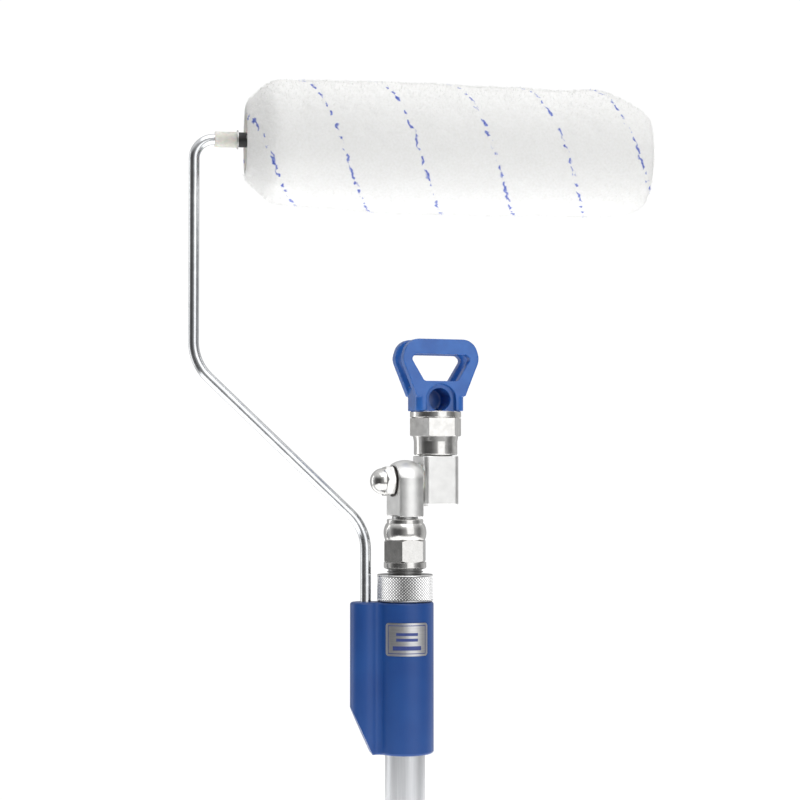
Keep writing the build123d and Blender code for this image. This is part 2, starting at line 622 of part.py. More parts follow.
# ---- Swivel nut: ring, hexagon, bulged barrel and crown --------------------------------------------
NUT_START = HOUSING_TOP + SWIVEL_NUT_RISE
HEX_START = NUT_START + NUT_RING_HEIGHT
HEX_END = HEX_START + NUT_HEX_HEIGHT
BARREL_END = HEX_END + NUT_BARREL_HEIGHT
NUT_END = BARREL_END + NUT_CROWN_HEIGHT
STEM_START = THREAD_END + STEM_GASKET + TURN_GAP
STEM_SHELF = STEM_START + STEM_FLANGE_HEIGHT + TURN_GAP
with BuildPart() as swivel_nut:
    with BuildSketch(Plane.XY.offset(HEX_START)):
        RegularPolygon(NUT_HEX_ACROSS / 2, 6, major_radius=False, rotation=NUT_HEX_TURN)
    extrude(amount=NUT_HEX_HEIGHT)
    chamfered = hex_chamfer(NUT_HEX_ACROSS, HEX_START, HEX_END, NUT_HEX_ACROSS / 2)
    revolve(outline(TUBE_SIDE, *chamfered), axis=Axis.Z, mode=Mode.INTERSECT)
    with BuildSketch(TUBE_SIDE):
        with BuildLine():
            Polyline(
                (NUT_CROWN_RADIUS, BARREL_END),
                (NUT_CROWN_RADIUS, NUT_END),
                (0, NUT_END),
                (0, HEX_END),
                (NUT_BARREL_FOOT - NUT_BARREL_DRAW, HEX_END),
            )
            ThreePointArc(
                (NUT_BARREL_FOOT - NUT_BARREL_DRAW, HEX_END),
                (NUT_BARREL_FOOT, HEX_END + NUT_BARREL_HEIGHT * NUT_BULGE_LEVEL),
                (NUT_BARREL_TOP, BARREL_END),
            )
            Line((NUT_BARREL_TOP, BARREL_END), (NUT_CROWN_RADIUS, BARREL_END))
        make_face()
    revolve(axis=Axis.Z)
    revolve(tube_ring(0, NUT_RING_RADIUS, NUT_START, HEX_START), axis=Axis.Z)
    ring_edge = swivel_nut.edges().filter_by(GeomType.CIRCLE).group_by(Axis.Z)[0]
    chamfer(ring_edge, NUT_EDGE)
    crown_edge = swivel_nut.edges().filter_by(GeomType.CIRCLE).group_by(Axis.Z)[-1]
    fillet(crown_edge, NUT_EDGE)
    revolve(tube_ring(0, THREAD_BORE, NUT_START, STEM_SHELF), axis=Axis.Z, mode=Mode.SUBTRACT)
    with Locations((0, 0, NUT_END)):
        Hole(STEM_NECK_RADIUS + TURN_GAP)
keep(swivel_nut, "swivel_nut")

# Inlet stem: its flange is caught in the nut, its top is screwed into the swivel body.
SWIVEL_FOOT = HOUSING_TOP + SWIVEL_FOOT_RISE
with BuildPart() as inlet_stem:
    revolve(tube_ring(0, STEM_FLANGE_RADIUS, STEM_START, STEM_START + STEM_FLANGE_HEIGHT), axis=Axis.Z)
    revolve(tube_ring(0, STEM_NECK_RADIUS, STEM_START + STEM_FLANGE_HEIGHT, SWIVEL_FOOT), axis=Axis.Z)
    revolve(tube_ring(0, STEM_THREAD_RADIUS, SWIVEL_FOOT, SWIVEL_FOOT + STEM_THREAD_LENGTH), axis=Axis.Z)
    with Locations((0, 0, SWIVEL_FOOT + STEM_THREAD_LENGTH)):
        Hole(INLET_PORT_RADIUS)
keep(inlet_stem, "inlet_stem")

with BuildPart() as inlet_gasket:
    revolve(tube_ring(BORE_RADIUS, STEM_GASKET_RADIUS, THREAD_END + TURN_GAP, STEM_START), axis=Axis.Z)
keep(inlet_gasket, "inlet_gasket")

# ---- Swivel body: round bar milled to two flats, with a domed top ----------------------------------
PIVOT_BORE = PIVOT_RADIUS + PIVOT_FIT
DOME_TOP = PIVOT_HEIGHT + SWIVEL_TOP_RISE
DOME_START = DOME_TOP - SWIVEL_DOME
DOME_RADIUS = (SWIVEL_BAR_RADIUS**2 + SWIVEL_DOME**2) / (2 * SWIVEL_DOME)
with BuildPart() as swivel_body:
    with BuildSketch(Plane(origin=(0, 0, SWIVEL_FOOT), x_dir=ALONG, z_dir=UP)):
        Circle(SWIVEL_BAR_RADIUS)
        Rectangle(2 * SWIVEL_HALF_WIDTH, 2 * SWIVEL_BAR_RADIUS, mode=Mode.INTERSECT)
    extrude(amount=DOME_TOP - SWIVEL_FOOT)
    planes = swivel_body.faces().filter_by(GeomType.PLANE)
    flats = planes.filter_by(lambda face: abs(face.normal_at().dot(ALONG)) > 0.99)
    chamfer(flats.edges(), SWIVEL_EDGE)
    with BuildSketch(Plane.XZ):
        with BuildLine():
            Polyline(
                (0, DOME_TOP),
                (0, SWIVEL_FOOT),
                (SWIVEL_BAR_RADIUS + CUT_MARGIN, SWIVEL_FOOT),
                (SWIVEL_BAR_RADIUS + CUT_MARGIN, DOME_START),
                (SWIVEL_BAR_RADIUS, DOME_START),
            )
            RadiusArc((SWIVEL_BAR_RADIUS, DOME_START), (0, DOME_TOP), -DOME_RADIUS)
        make_face()
    revolve(axis=Axis.Z, mode=Mode.INTERSECT)
    revolve(
        pivot_ring(0, PIVOT_BORE, -SWIVEL_BAR_RADIUS, SWIVEL_BAR_RADIUS),
        axis=PIVOT_AXIS,
        mode=Mode.SUBTRACT,
    )
    revolve(
        tube_ring(0, STEM_THREAD_RADIUS + SPIGOT_FIT, SWIVEL_FOOT, SWIVEL_FOOT + STEM_THREAD_LENGTH),
        axis=Axis.Z,
        mode=Mode.SUBTRACT,
    )
    revolve(tube_ring(0, INLET_PORT_RADIUS, SWIVEL_FOOT, PIVOT_HEIGHT), axis=Axis.Z, mode=Mode.SUBTRACT)
keep(swivel_body, "swivel_body")

# ---- Pivot: hollow stem through the swivel body, screwed into the outlet body ----------------------
CAP_START = -SWIVEL_HALF_WIDTH - END_GAP
CAP_HEX_START = CAP_START - CAP_WASHER
CAP_DOME_START = CAP_HEX_START - CAP_NUT_HEX
STUB_END = CAP_DOME_START - CAP_NUT_DOME / 3
PIVOT_END = OUTLET_OFFSET - BORE_RADIUS
GROOVE_RADIUS = PIVOT_RADIUS - RING_GROOVE_DEPTH
with BuildPart() as pivot_stem:
    revolve(pivot_ring(0, PIVOT_RADIUS, CAP_START, OUTLET_START - END_GAP), axis=PIVOT_AXIS)
    revolve(pivot_ring(0, PIVOT_THREAD_RADIUS, STUB_END, PIVOT_END), axis=PIVOT_AXIS)
    for middle in (-RING_OFFSET, 0, RING_OFFSET):
        groove = pivot_ring(GROOVE_RADIUS, PIVOT_RADIUS, middle - GROOVE_HALF, middle + GROOVE_HALF)
        revolve(groove, axis=PIVOT_AXIS, mode=Mode.SUBTRACT)
    # fluid comes in through the middle groove and leaves along the stem
    revolve(pivot_ring(0, FLUID_PORT_RADIUS, -RING_SECTION, PIVOT_END), axis=PIVOT_AXIS, mode=Mode.SUBTRACT)
    revolve(
        tube_ring(0, RING_SECTION, PIVOT_HEIGHT - PIVOT_RADIUS, PIVOT_HEIGHT),
        axis=Axis.Z,
        mode=Mode.SUBTRACT,
    )
keep(pivot_stem, "pivot_stem")

with BuildPart() as pivot_rings:
    with BuildSketch(PIVOT_SIDE):
        for middle in (-RING_OFFSET, RING_OFFSET):
            with Locations((middle, PIVOT_RADIUS - RING_SECTION - PIVOT_FIT)):
                Circle(RING_SECTION)
    revolve(axis=PIVOT_AXIS)
keep(pivot_rings, "pivot_rings")

with BuildPart() as pivot_washer:
    revolve(
        pivot_ring(PIVOT_BORE, PIVOT_WASHER_RADIUS, SWIVEL_HALF_WIDTH + END_GAP, OUTLET_START),
        axis=PIVOT_AXIS,
    )
keep(pivot_washer, "pivot_washer")

with BuildPart() as cap_washer:
    revolve(
        pivot_ring(PIVOT_THREAD_RADIUS + SPIGOT_FIT, CAP_WASHER_RADIUS, CAP_HEX_START, CAP_START),
        axis=PIVOT_AXIS,
    )
    chamfer(cap_washer.edges().filter_by(GeomType.CIRCLE).group_by(SortBy.RADIUS)[-1], CAP_WASHER / 4)
keep(cap_washer, "cap_washer")

# Acorn nut on the stem's left end.
with BuildPart() as cap_nut:
    with BuildSketch(Plane(origin=ALONG * CAP_HEX_START + UP * PIVOT_HEIGHT, x_dir=FRONT, z_dir=-ALONG)):
        RegularPolygon(CAP_NUT_ACROSS / 2, 6, major_radius=False, rotation=CAP_NUT_TURN)
    extrude(amount=CAP_NUT_HEX)
    corner = CAP_NUT_ACROSS / 2 / cos(radians(30)) + CUT_MARGIN
    drop = (corner - CAP_DOME_RADIUS) * tan(radians(30))
    revolve(
        outline(
            PIVOT_SIDE,
            (CAP_HEX_START, 0),
            (CAP_HEX_START, CAP_NUT_ACROSS / 2),
            (CAP_HEX_START - drop / 2, corner),
            (CAP_DOME_START + drop, corner),
            (CAP_DOME_START, CAP_DOME_RADIUS),
            (CAP_DOME_START, 0),
        ),
        axis=PIVOT_AXIS,
        mode=Mode.INTERSECT,
    )
    with BuildSketch(PIVOT_SIDE):
        with BuildLine():
            Polyline(
                (CAP_DOME_START - CAP_NUT_DOME, 0),
                (CAP_DOME_START, 0),
                (CAP_DOME_START, CAP_DOME_RADIUS),
            )
            EllipticalCenterArc(
                (CAP_DOME_START, 0), CAP_NUT_DOME, CAP_DOME_RADIUS, start_angle=90, arc_size=90
            )
        make_face()
    revolve(axis=PIVOT_AXIS)
    revolve(
        pivot_ring(0, PIVOT_THREAD_RADIUS + SPIGOT_FIT, STUB_END - END_GAP, CAP_HEX_START),
        axis=PIVOT_AXIS,
        mode=Mode.SUBTRACT,
    )
keep(cap_nut, "cap_nut")

# ---- Outlet body: square bar with rounded corners and a threaded top -------------------------------
OUTLET_FOOT = PIVOT_HEIGHT - OUTLET_BELOW
OUTLET_TOP = PIVOT_HEIGHT + OUTLET_ABOVE
OUTLET_END = OUTLET_TOP + OUTLET_THREAD_LENGTH
with BuildPart() as outlet_body:
    with BuildSketch(Plane(origin=OUTLET_CENTRE + UP * OUTLET_FOOT, x_dir=ALONG, z_dir=UP)):
        RectangleRounded(OUTLET_WIDTH, OUTLET_DEPTH, OUTLET_CORNER)
    extrude(amount=OUTLET_TOP - OUTLET_FOOT)
    fillet(outlet_body.faces().sort_by(Axis.Z)[0].edges(), OUTLET_FOOT_EDGE)
    fillet(outlet_body.faces().sort_by(Axis.Z)[-1].edges(), SWIVEL_EDGE)
    revolve(outline(OUTLET_SIDE, *thread_rings(THREAD_RADIUS, OUTLET_TOP, OUTLET_END)), axis=OUTLET_AXIS)
    revolve(
        outlet_ring(0, BORE_RADIUS, PIVOT_HEIGHT - BORE_RADIUS, OUTLET_END),
        axis=OUTLET_AXIS,
        mode=Mode.SUBTRACT,
    )
    revolve(
        pivot_ring(0, PIVOT_THREAD_RADIUS + SPIGOT_FIT, OUTLET_START, OUTLET_OFFSET),
        axis=PIVOT_AXIS,
        mode=Mode.SUBTRACT,
    )
keep(outlet_body, "outlet_body")

# ---- Guard nut: sleeve, flare, hexagon and crown ---------------------------------------------------
GUARD_NUT_START = OUTLET_TOP + GUARD_NUT_GAP
SLEEVE_TOP = GUARD_NUT_START + GUARD_NUT_SLEEVE
GUARD_HEX_START = SLEEVE_TOP + GUARD_NUT_FLARE / 2
GUARD_HEX_END = GUARD_HEX_START + GUARD_NUT_HEX
GUARD_NUT_END = GUARD_HEX_END + GUARD_NUT_CROWN
NUT_WALL_START = OUTLET_END + END_GAP
with BuildPart() as guard_nut:
    with BuildSketch(Plane(origin=OUTLET_CENTRE + UP * GUARD_HEX_START, x_dir=(1, 0, 0), z_dir=UP)):
        RegularPolygon(GUARD_NUT_ACROSS / 2, 6, major_radius=False, rotation=GUARD_NUT_TURN)
    extrude(amount=GUARD_NUT_HEX)
    chamfered = hex_chamfer(
        GUARD_NUT_ACROSS,
        GUARD_HEX_START - GUARD_NUT_FLARE / 2,
        GUARD_HEX_END + GUARD_NUT_CROWN,
        GUARD_NUT_SLEEVE_RADIUS,
    )
    revolve(outline(OUTLET_SIDE, *chamfered), axis=OUTLET_AXIS, mode=Mode.INTERSECT)
    revolve(
        outline(
            OUTLET_SIDE,
            (0, GUARD_NUT_START),
            (GUARD_NUT_SLEEVE_RADIUS - NUT_EDGE, GUARD_NUT_START),
            (GUARD_NUT_SLEEVE_RADIUS, GUARD_NUT_START + NUT_EDGE),
            (GUARD_NUT_SLEEVE_RADIUS, SLEEVE_TOP - GUARD_NUT_FLARE),
            (GUARD_NUT_ACROSS / 2, SLEEVE_TOP + GUARD_NUT_FLARE),
            (0, SLEEVE_TOP + GUARD_NUT_FLARE),
        ),
        axis=OUTLET_AXIS,
    )
    revolve(
        outline(
            OUTLET_SIDE,
            (0, GUARD_HEX_END),
            (GUARD_NUT_ACROSS / 2, GUARD_HEX_END),
            (GUARD_NUT_CROWN_RADIUS, GUARD_HEX_END + NUT_EDGE),
            (GUARD_NUT_CROWN_RADIUS, GUARD_NUT_END - NUT_EDGE),
            (GUARD_NUT_CROWN_RADIUS - NUT_EDGE, GUARD_NUT_END),
            (0, GUARD_NUT_END),
        ),
        axis=OUTLET_AXIS,
    )
    revolve(
        outlet_ring(0, THREAD_BORE, GUARD_NUT_START, NUT_WALL_START),
        axis=OUTLET_AXIS,
        mode=Mode.SUBTRACT,
    )
    revolve(
        outlet_ring(0, GUARD_NUT_WALL_RADIUS, NUT_WALL_START, GUARD_NUT_END - GUARD_NUT_LIP),
        axis=OUTLET_AXIS,
        mode=Mode.SUBTRACT,
    )
    revolve(
        outlet_ring(0, GUARD_NECK_RADIUS + 2 * TURN_GAP, GUARD_NUT_START + GUARD_NUT_SLEEVE, GUARD_NUT_END),
        axis=OUTLET_AXIS,
        mode=Mode.SUBTRACT,
    )
keep(guard_nut, "guard_nut")

# ---- Tip guard: bored base, arch round the bore, and a loop in front and behind --------------------
GUARD_BASE = GUARD_NUT_END + END_GAP
TIP_BORE_HEIGHT = GUARD_BASE + TIP_BORE_RISE
SEAL_TOP = OUTLET_END + END_GAP + SEAL_THICKNESS
SNAP_TOP = GUARD_NUT_END - GUARD_NUT_LIP - END_GAP
NECK_BOTTOM = SNAP_TOP - 2 * SNAP_RING_HEIGHT
TIP_SIDE = Plane(origin=OUTLET_CENTRE + UP * TIP_BORE_HEIGHT, x_dir=ALONG, z_dir=FRONT)


def mirrored(*right_half):
    """A closed outline from its right half, given from the bottom up."""
    return list(right_half) + [(-across, up) for across, up in reversed(right_half)]


def arched(radius):
    """An arch about the tip bore, with straight legs down to the guard's underside."""
    with BuildSketch(mode=Mode.PRIVATE) as arch:
        Circle(radius)
        Rectangle(2 * radius, TIP_BORE_RISE, align=(Align.CENTER, Align.MAX))
        with Locations((0, -TIP_BORE_RISE)):
            Rectangle(2 * radius, 2 * radius, align=(Align.CENTER, Align.MAX), mode=Mode.SUBTRACT)
    return arch.sketch


WING_OUTLINE = mirrored(
    (GUARD_WIDTH / 2, 0),
    (GUARD_WIDTH / 2, WING_FLARE_START),
    (WING_WIDTH / 2, WING_SHOULDER),
    (WING_TOP_WIDTH / 2, WING_HEIGHT),
)
WINDOW_OUTLINE = mirrored(
    (WINDOW_BOTTOM_WIDTH / 2, WINDOW_BOTTOM),
    (WINDOW_WIDTH / 2, WINDOW_SHOULDER),
    (WINDOW_TOP_WIDTH / 2, WINDOW_TOP),
)
with BuildPart() as tip_guard:
    for offset in (-WING_OFFSET, WING_OFFSET):
        wing_centre = OUTLET_CENTRE + UP * GUARD_BASE + FRONT * offset
        wing_plane = Plane(origin=wing_centre, x_dir=ALONG, z_dir=FRONT)
        with BuildSketch(wing_plane) as wing:
            with BuildLine():
                Polyline(*WING_OUTLINE, close=True)
            make_face()
            fillet(wing.vertices().filter_by(lambda corner: corner.Y > WINDOW_BOTTOM), WING_ROUNDING)
            with BuildSketch(mode=Mode.SUBTRACT) as window:
                with BuildLine():
                    Polyline(*WINDOW_OUTLINE, close=True)
                make_face()
                fillet(window.vertices(), WINDOW_ROUNDING)
        extrude(amount=WING_THICKNESS / 2, both=True)
    with BuildSketch(Plane(origin=OUTLET_CENTRE + UP * GUARD_BASE, x_dir=ALONG, z_dir=UP)):
        RectangleRounded(GUARD_WIDTH, GUARD_DEPTH, GUARD_CORNER)
    extrude(amount=GUARD_BASE_HEIGHT)
    with BuildSketch(TIP_SIDE):
        add(arched(ARCH_RADIUS))
    extrude(amount=GUARD_DEPTH / 2, both=True)
    with BuildSketch(TIP_SIDE.offset(GUARD_DEPTH / 2)):
        add(arched(RECESS_RADIUS))
    extrude(amount=-RECESS_DEPTH, mode=Mode.SUBTRACT)
    # the base's rounded corners run through the wings' feet
    with BuildSketch(Plane(origin=OUTLET_CENTRE + UP * GUARD_BASE, x_dir=ALONG, z_dir=UP)):
        Rectangle(2 * GUARD_WIDTH, 2 * GUARD_DEPTH)
        RectangleRounded(GUARD_WIDTH, GUARD_DEPTH, GUARD_CORNER, mode=Mode.SUBTRACT)
    extrude(amount=WING_FLARE_START, mode=Mode.SUBTRACT)
    # neck and snap ring groove inside the nut
    revolve(outlet_ring(0, GUARD_NECK_RADIUS, NECK_BOTTOM, GUARD_BASE), axis=OUTLET_AXIS)
    revolve(
        outlet_ring(SNAP_GROOVE_RADIUS, GUARD_NECK_RADIUS, SNAP_TOP - SNAP_RING_HEIGHT, SNAP_TOP),
        axis=OUTLET_AXIS,
        mode=Mode.SUBTRACT,
    )
    # tip bore, open at the front, with the seat hole below it and the spray slot above it
    with BuildSketch(TIP_SIDE.offset(GUARD_DEPTH / 2)):
        Circle(TIP_BORE_RADIUS)
    extrude(amount=BORE_END_WALL - GUARD_DEPTH, mode=Mode.SUBTRACT)
    revolve(
        outlet_ring(0, SEAT_RADIUS + SEAT_FIT, NECK_BOTTOM, TIP_BORE_HEIGHT),
        axis=OUTLET_AXIS,
        mode=Mode.SUBTRACT,
    )
    revolve(
        outlet_ring(0, SPRAY_SLOT_RADIUS, TIP_BORE_HEIGHT, GUARD_BASE + WING_HEIGHT),
        axis=OUTLET_AXIS,
        mode=Mode.SUBTRACT,
    )
keep(tip_guard, "tip_guard")

with BuildPart() as snap_ring:
    revolve(
        outlet_ring(
            SNAP_GROOVE_RADIUS + SEAT_FIT,
            GUARD_NUT_WALL_RADIUS - 2 * TURN_GAP,
            SNAP_TOP - SNAP_RING_HEIGHT,
            SNAP_TOP,
        ),
        axis=OUTLET_AXIS,
    )
    gap_plane = Plane(origin=OUTLET_CENTRE + UP * SNAP_TOP, x_dir=ALONG, z_dir=UP)
    with BuildSketch(gap_plane):
        with Locations((0, GUARD_NUT_WALL_RADIUS)):
            Rectangle(SNAP_RING_GAP, 2 * SNAP_RING_GAP)
    extrude(amount=-SNAP_RING_HEIGHT, mode=Mode.SUBTRACT)
keep(snap_ring, "snap_ring")

# Metal seat under the tip bore, with a saddle that the tip's barrel lies in.
with BuildPart() as tip_seat:
    revolve(outlet_ring(0, SEAT_RADIUS, SEAL_TOP, TIP_BORE_HEIGHT), axis=OUTLET_AXIS)
    revolve(outlet_ring(0, SEAT_FLANGE_RADIUS, SEAL_TOP, NECK_BOTTOM), axis=OUTLET_AXIS)
    with BuildSketch(TIP_SIDE):
        Circle(TIP_BORE_RADIUS + SEAT_FIT)
    extrude(amount=GUARD_DEPTH / 2, both=True, mode=Mode.SUBTRACT)
    revolve(
        outlet_ring(0, FLUID_PORT_RADIUS, SEAL_TOP, TIP_BORE_HEIGHT),
        axis=OUTLET_AXIS,
        mode=Mode.SUBTRACT,
    )
keep(tip_seat, "tip_seat")

with BuildPart() as seat_seal:
    revolve(
        outlet_ring(FLUID_PORT_RADIUS, SEAL_RADIUS, OUTLET_END + END_GAP, SEAL_TOP),
        axis=OUTLET_AXIS,
    )
keep(seat_seal, "seat_seal")

# ---- Write one file for each piece -----------------------------------------------------------------
os.makedirs("parts", exist_ok=True)
for piece in pieces:
    export_step(piece, f"parts/{piece.label}.step")
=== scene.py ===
"""An airless spray roller head, finished for a pale studio picture."""

import json
import math

import bmesh
import bpy
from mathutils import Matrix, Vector


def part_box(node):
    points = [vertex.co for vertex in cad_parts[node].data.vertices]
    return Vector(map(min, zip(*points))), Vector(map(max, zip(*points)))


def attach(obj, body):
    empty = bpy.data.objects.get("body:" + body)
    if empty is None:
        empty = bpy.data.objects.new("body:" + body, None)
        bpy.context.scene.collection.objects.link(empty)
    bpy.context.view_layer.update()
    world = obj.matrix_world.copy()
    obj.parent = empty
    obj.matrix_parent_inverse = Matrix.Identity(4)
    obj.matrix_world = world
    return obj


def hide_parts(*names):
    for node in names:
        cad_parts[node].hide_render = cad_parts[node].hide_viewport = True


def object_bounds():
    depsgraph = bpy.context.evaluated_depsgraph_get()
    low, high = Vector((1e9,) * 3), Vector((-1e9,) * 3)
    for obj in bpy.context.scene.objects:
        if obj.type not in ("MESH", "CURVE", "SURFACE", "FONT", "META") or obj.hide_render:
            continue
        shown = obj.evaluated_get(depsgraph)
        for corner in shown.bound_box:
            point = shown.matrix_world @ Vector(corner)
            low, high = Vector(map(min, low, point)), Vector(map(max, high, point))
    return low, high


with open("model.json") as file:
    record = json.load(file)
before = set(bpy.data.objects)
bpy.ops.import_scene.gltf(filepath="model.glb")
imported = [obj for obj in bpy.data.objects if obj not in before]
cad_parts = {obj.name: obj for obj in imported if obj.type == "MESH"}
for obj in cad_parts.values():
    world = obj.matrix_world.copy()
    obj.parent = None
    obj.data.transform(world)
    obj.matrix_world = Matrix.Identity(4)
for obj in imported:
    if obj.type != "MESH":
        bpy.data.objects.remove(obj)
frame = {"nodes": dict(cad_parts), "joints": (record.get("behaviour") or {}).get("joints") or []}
nodes = frame["nodes"]
joints = {joint["name"]: joint for joint in frame["joints"]}
cad_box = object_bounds()

# ---- Studio --------------------------------------------------------------------------------------
# A white table under the tool, a large softbox at the front right, a flat panel overhead and a
# bright room behind, seen through a long lens at half the tool's height.


def linear(hex_colour):
    """An sRGB hex colour as linear red, green, blue and alpha."""
    channels = [int(hex_colour[place:place + 2], 16) / 255 for place in (1, 3, 5)]
    return tuple(c / 12.92 if c <= 0.04045 else ((c + 0.055) / 1.055) ** 2.4 for c in channels) + (1.0,)


def add_node(tree, kind, settings=None, inputs=None, stops=None):
    """Adds a node.  Inputs are values or sockets; stops are a ramp's places and colours."""
    node = tree.nodes.new(kind)
    for name, value in (settings or {}).items():
        setattr(node, name, value)
    for name, value in (inputs or {}).items():
        if isinstance(value, bpy.types.NodeSocket):
            tree.links.new(value, node.inputs[name])
        else:
            node.inputs[name].default_value = value
    for number, (place, colour) in enumerate(stops or []):
        points = node.color_ramp.elements
        point = points[number] if number < 2 else points.new(place)
        point.position = place
        point.color = linear(colour) if isinstance(colour, str) else (colour, colour, colour, 1)
    return node


# The camera stands 8 degrees to the wire's side of square on, a little below the middle of the view.
CAMERA_SIDE = math.radians(-8)
CAMERA_DISTANCE = 1.2
CAMERA_HEIGHT = 0.319
AIM_HEIGHT = 0.359
AIM_SIDE = -0.0031
VIEW_WIDTH = 0.4936
away = Vector((math.sin(CAMERA_SIDE), -math.cos(CAMERA_SIDE), 0))
across = Vector((math.cos(CAMERA_SIDE), math.sin(CAMERA_SIDE), 0))
aim = across * AIM_SIDE + Vector((0, 0, AIM_HEIGHT))
camera_place = across * AIM_SIDE + away * CAMERA_DISTANCE + Vector((0, 0, CAMERA_HEIGHT))
bpy.ops.object.camera_add(location=camera_place)
camera = bpy.context.object
camera.rotation_euler = (aim - camera_place).to_track_quat("-Z", "Y").to_euler()
camera.data.sensor_width = 36
camera.data.lens = 36 * CAMERA_DISTANCE / VIEW_WIDTH
camera.data.clip_end = 40
bpy.context.scene.camera = camera

# The room round the tool, by compass bearing: dark cards at the front left, a grey one at the far
# right and dim grey behind, so that bright metal shows a dark core and has edges on white paper.
room = bpy.data.worlds.new("studio_room")
room.use_nodes = True
bpy.context.scene.world = room
tree = room.node_tree
tree.nodes.clear()
direction = add_node(tree, "ShaderNodeTexCoord")
parts = add_node(tree, "ShaderNodeSeparateXYZ", inputs={0: direction.outputs["Generated"]})
front = add_node(tree, "ShaderNodeMath", {"operation": "MULTIPLY"}, {0: parts.outputs["Y"], 1: -1.0})
bearing = add_node(
    tree,
    "ShaderNodeMath",
    {"operation": "ARCTAN2"},
    {0: parts.outputs["X"], 1: front.outputs[0]},
)
turned = add_node(
    tree,
    "ShaderNodeMapRange",
    {"clamp": False},
    {"Value": bearing.outputs[0], "From Min": -math.pi, "From Max": math.pi},
)
cards = add_node(
    tree,
    "ShaderNodeValToRGB",
    inputs={"Fac": turned.outputs[0]},
    stops=[
        (0.00, 0.45),
        (1.00, 0.45),
        (0.15, 0.75),
        (0.22, 0.75),
        (0.26, 0.30),
        (0.31, 0.10),
        (0.41, 0.12),
        (0.46, 0.34),
        (0.52, 0.62),
        (0.64, 0.62),
        (0.68, 0.30),
        (0.73, 0.24),
        (0.77, 0.60),
        (0.83, 0.80),
    ],
)
overhead = add_node(
    tree,
    "ShaderNodeMapRange",
    inputs={"Value": parts.outputs["Z"], "From Min": 0.35, "From Max": 0.75},
)
lit_room = add_node(
    tree,
    "ShaderNodeMix",
    {"data_type": "RGBA"},
    {"Factor": overhead.outputs[0], 6: cards.outputs["Color"], 7: (1.0, 1.0, 1.0, 1.0)},
)
# bright metal mirrors the room at full strength, while dull surfaces get less of it
seen = add_node(tree, "ShaderNodeLightPath")
strength = add_node(
    tree,
    "ShaderNodeMapRange",
    inputs={"Value": seen.outputs["Is Diffuse Ray"], "To Min": 0.9, "To Max": 0.42},
)
room_light = add_node(
    tree, "ShaderNodeBackground", inputs={"Color": lit_room.outputs[2], "Strength": strength.outputs[0]}
)
paper = add_node(tree, "ShaderNodeBackground", inputs={"Color": (1, 1, 1, 1), "Strength": 1.05})
either = add_node(
    tree,
    "ShaderNodeMixShader",
    inputs={0: seen.outputs["Is Camera Ray"], 1: room_light.outputs[0], 2: paper.outputs[0]},
)
add_node(tree, "ShaderNodeOutputWorld", inputs={"Surface": either.outputs[0]})

for name, bearing_deg, distance, height, width, length, power in (
    ("key_softbox", 23, 1.5, 0.75, 1.1, 1.5, 5.5),
    ("top_panel", 10, 0.5, 1.7, 1.6, 1.6, 13.0),
    ("left_strip", -118, 1.4, 0.45, 0.35, 1.2, 2.0),
):
    turn = math.radians(bearing_deg)
    place = Vector((math.sin(turn) * distance, -math.cos(turn) * distance, height))
    bpy.ops.object.light_add(type="AREA", location=place)
    light = bpy.context.object
    light.name = name
    light.rotation_euler = (Vector((0, 0, 0.36)) - place).to_track_quat("-Z", "Y").to_euler()
    light.data.shape = "RECTANGLE"
    light.data.size = width
    light.data.size_y = length
    light.data.energy = power

bpy.ops.object.select_all(action="DESELECT")
TABLE_SIZE = 1.3
TABLE_GAP = 0.0005
TABLE_GLOW = 1.0
bpy.ops.mesh.primitive_plane_add(size=TABLE_SIZE, location=(0, 0, cad_box[0].z - TABLE_GAP))
floor = bpy.context.object
floor.name = "studio_floor"
floor_paper = bpy.data.materials.new("white_background_paper")
floor_paper.use_nodes = True
floor_shader = floor_paper.node_tree.nodes["Principled BSDF"]
floor_shader.inputs["Base Color"].default_value = linear("#FAFAFA")
floor_shader.inputs["Roughness"].default_value = 0.9
floor_shader.inputs["Specular IOR Level"].default_value = 0.1
floor_shader.inputs["Emission Color"].default_value = linear("#FFFFFF")
floor_shader.inputs["Emission Strength"].default_value = TABLE_GLOW
floor.data.materials.append(floor_paper)
bpy.context.scene.view_settings.view_transform = "Standard"

# ---- Extension tube ------------------------------------------------------------------------------
# Drawn aluminium tube, satin anodised.  Drawing leaves fine marks along it, so its highlight is a
# soft upright band with faint streaks in it.


def new_material(name, constants):
    """A material with constants on its Principled shader's sockets, with its tree and shader."""
    material = bpy.data.materials.new(name)
    material.use_nodes = True
    shader = material.node_tree.nodes["Principled BSDF"]
    for socket, value in constants.items():
        shader.inputs[socket].default_value = linear(value) if isinstance(value, str) else value
    return material, material.node_tree, shader


def dress(material, *names):
    """Gives CAD nodes a material in place of the plain one they came with."""
    for name in names:
        nodes[name].material_slots[0].material = material


drawn_aluminium, tree, shader = new_material("drawn_aluminium", {"Metallic": 1.0, "Anisotropic": 0.35})
place = add_node(tree, "ShaderNodeTexCoord")
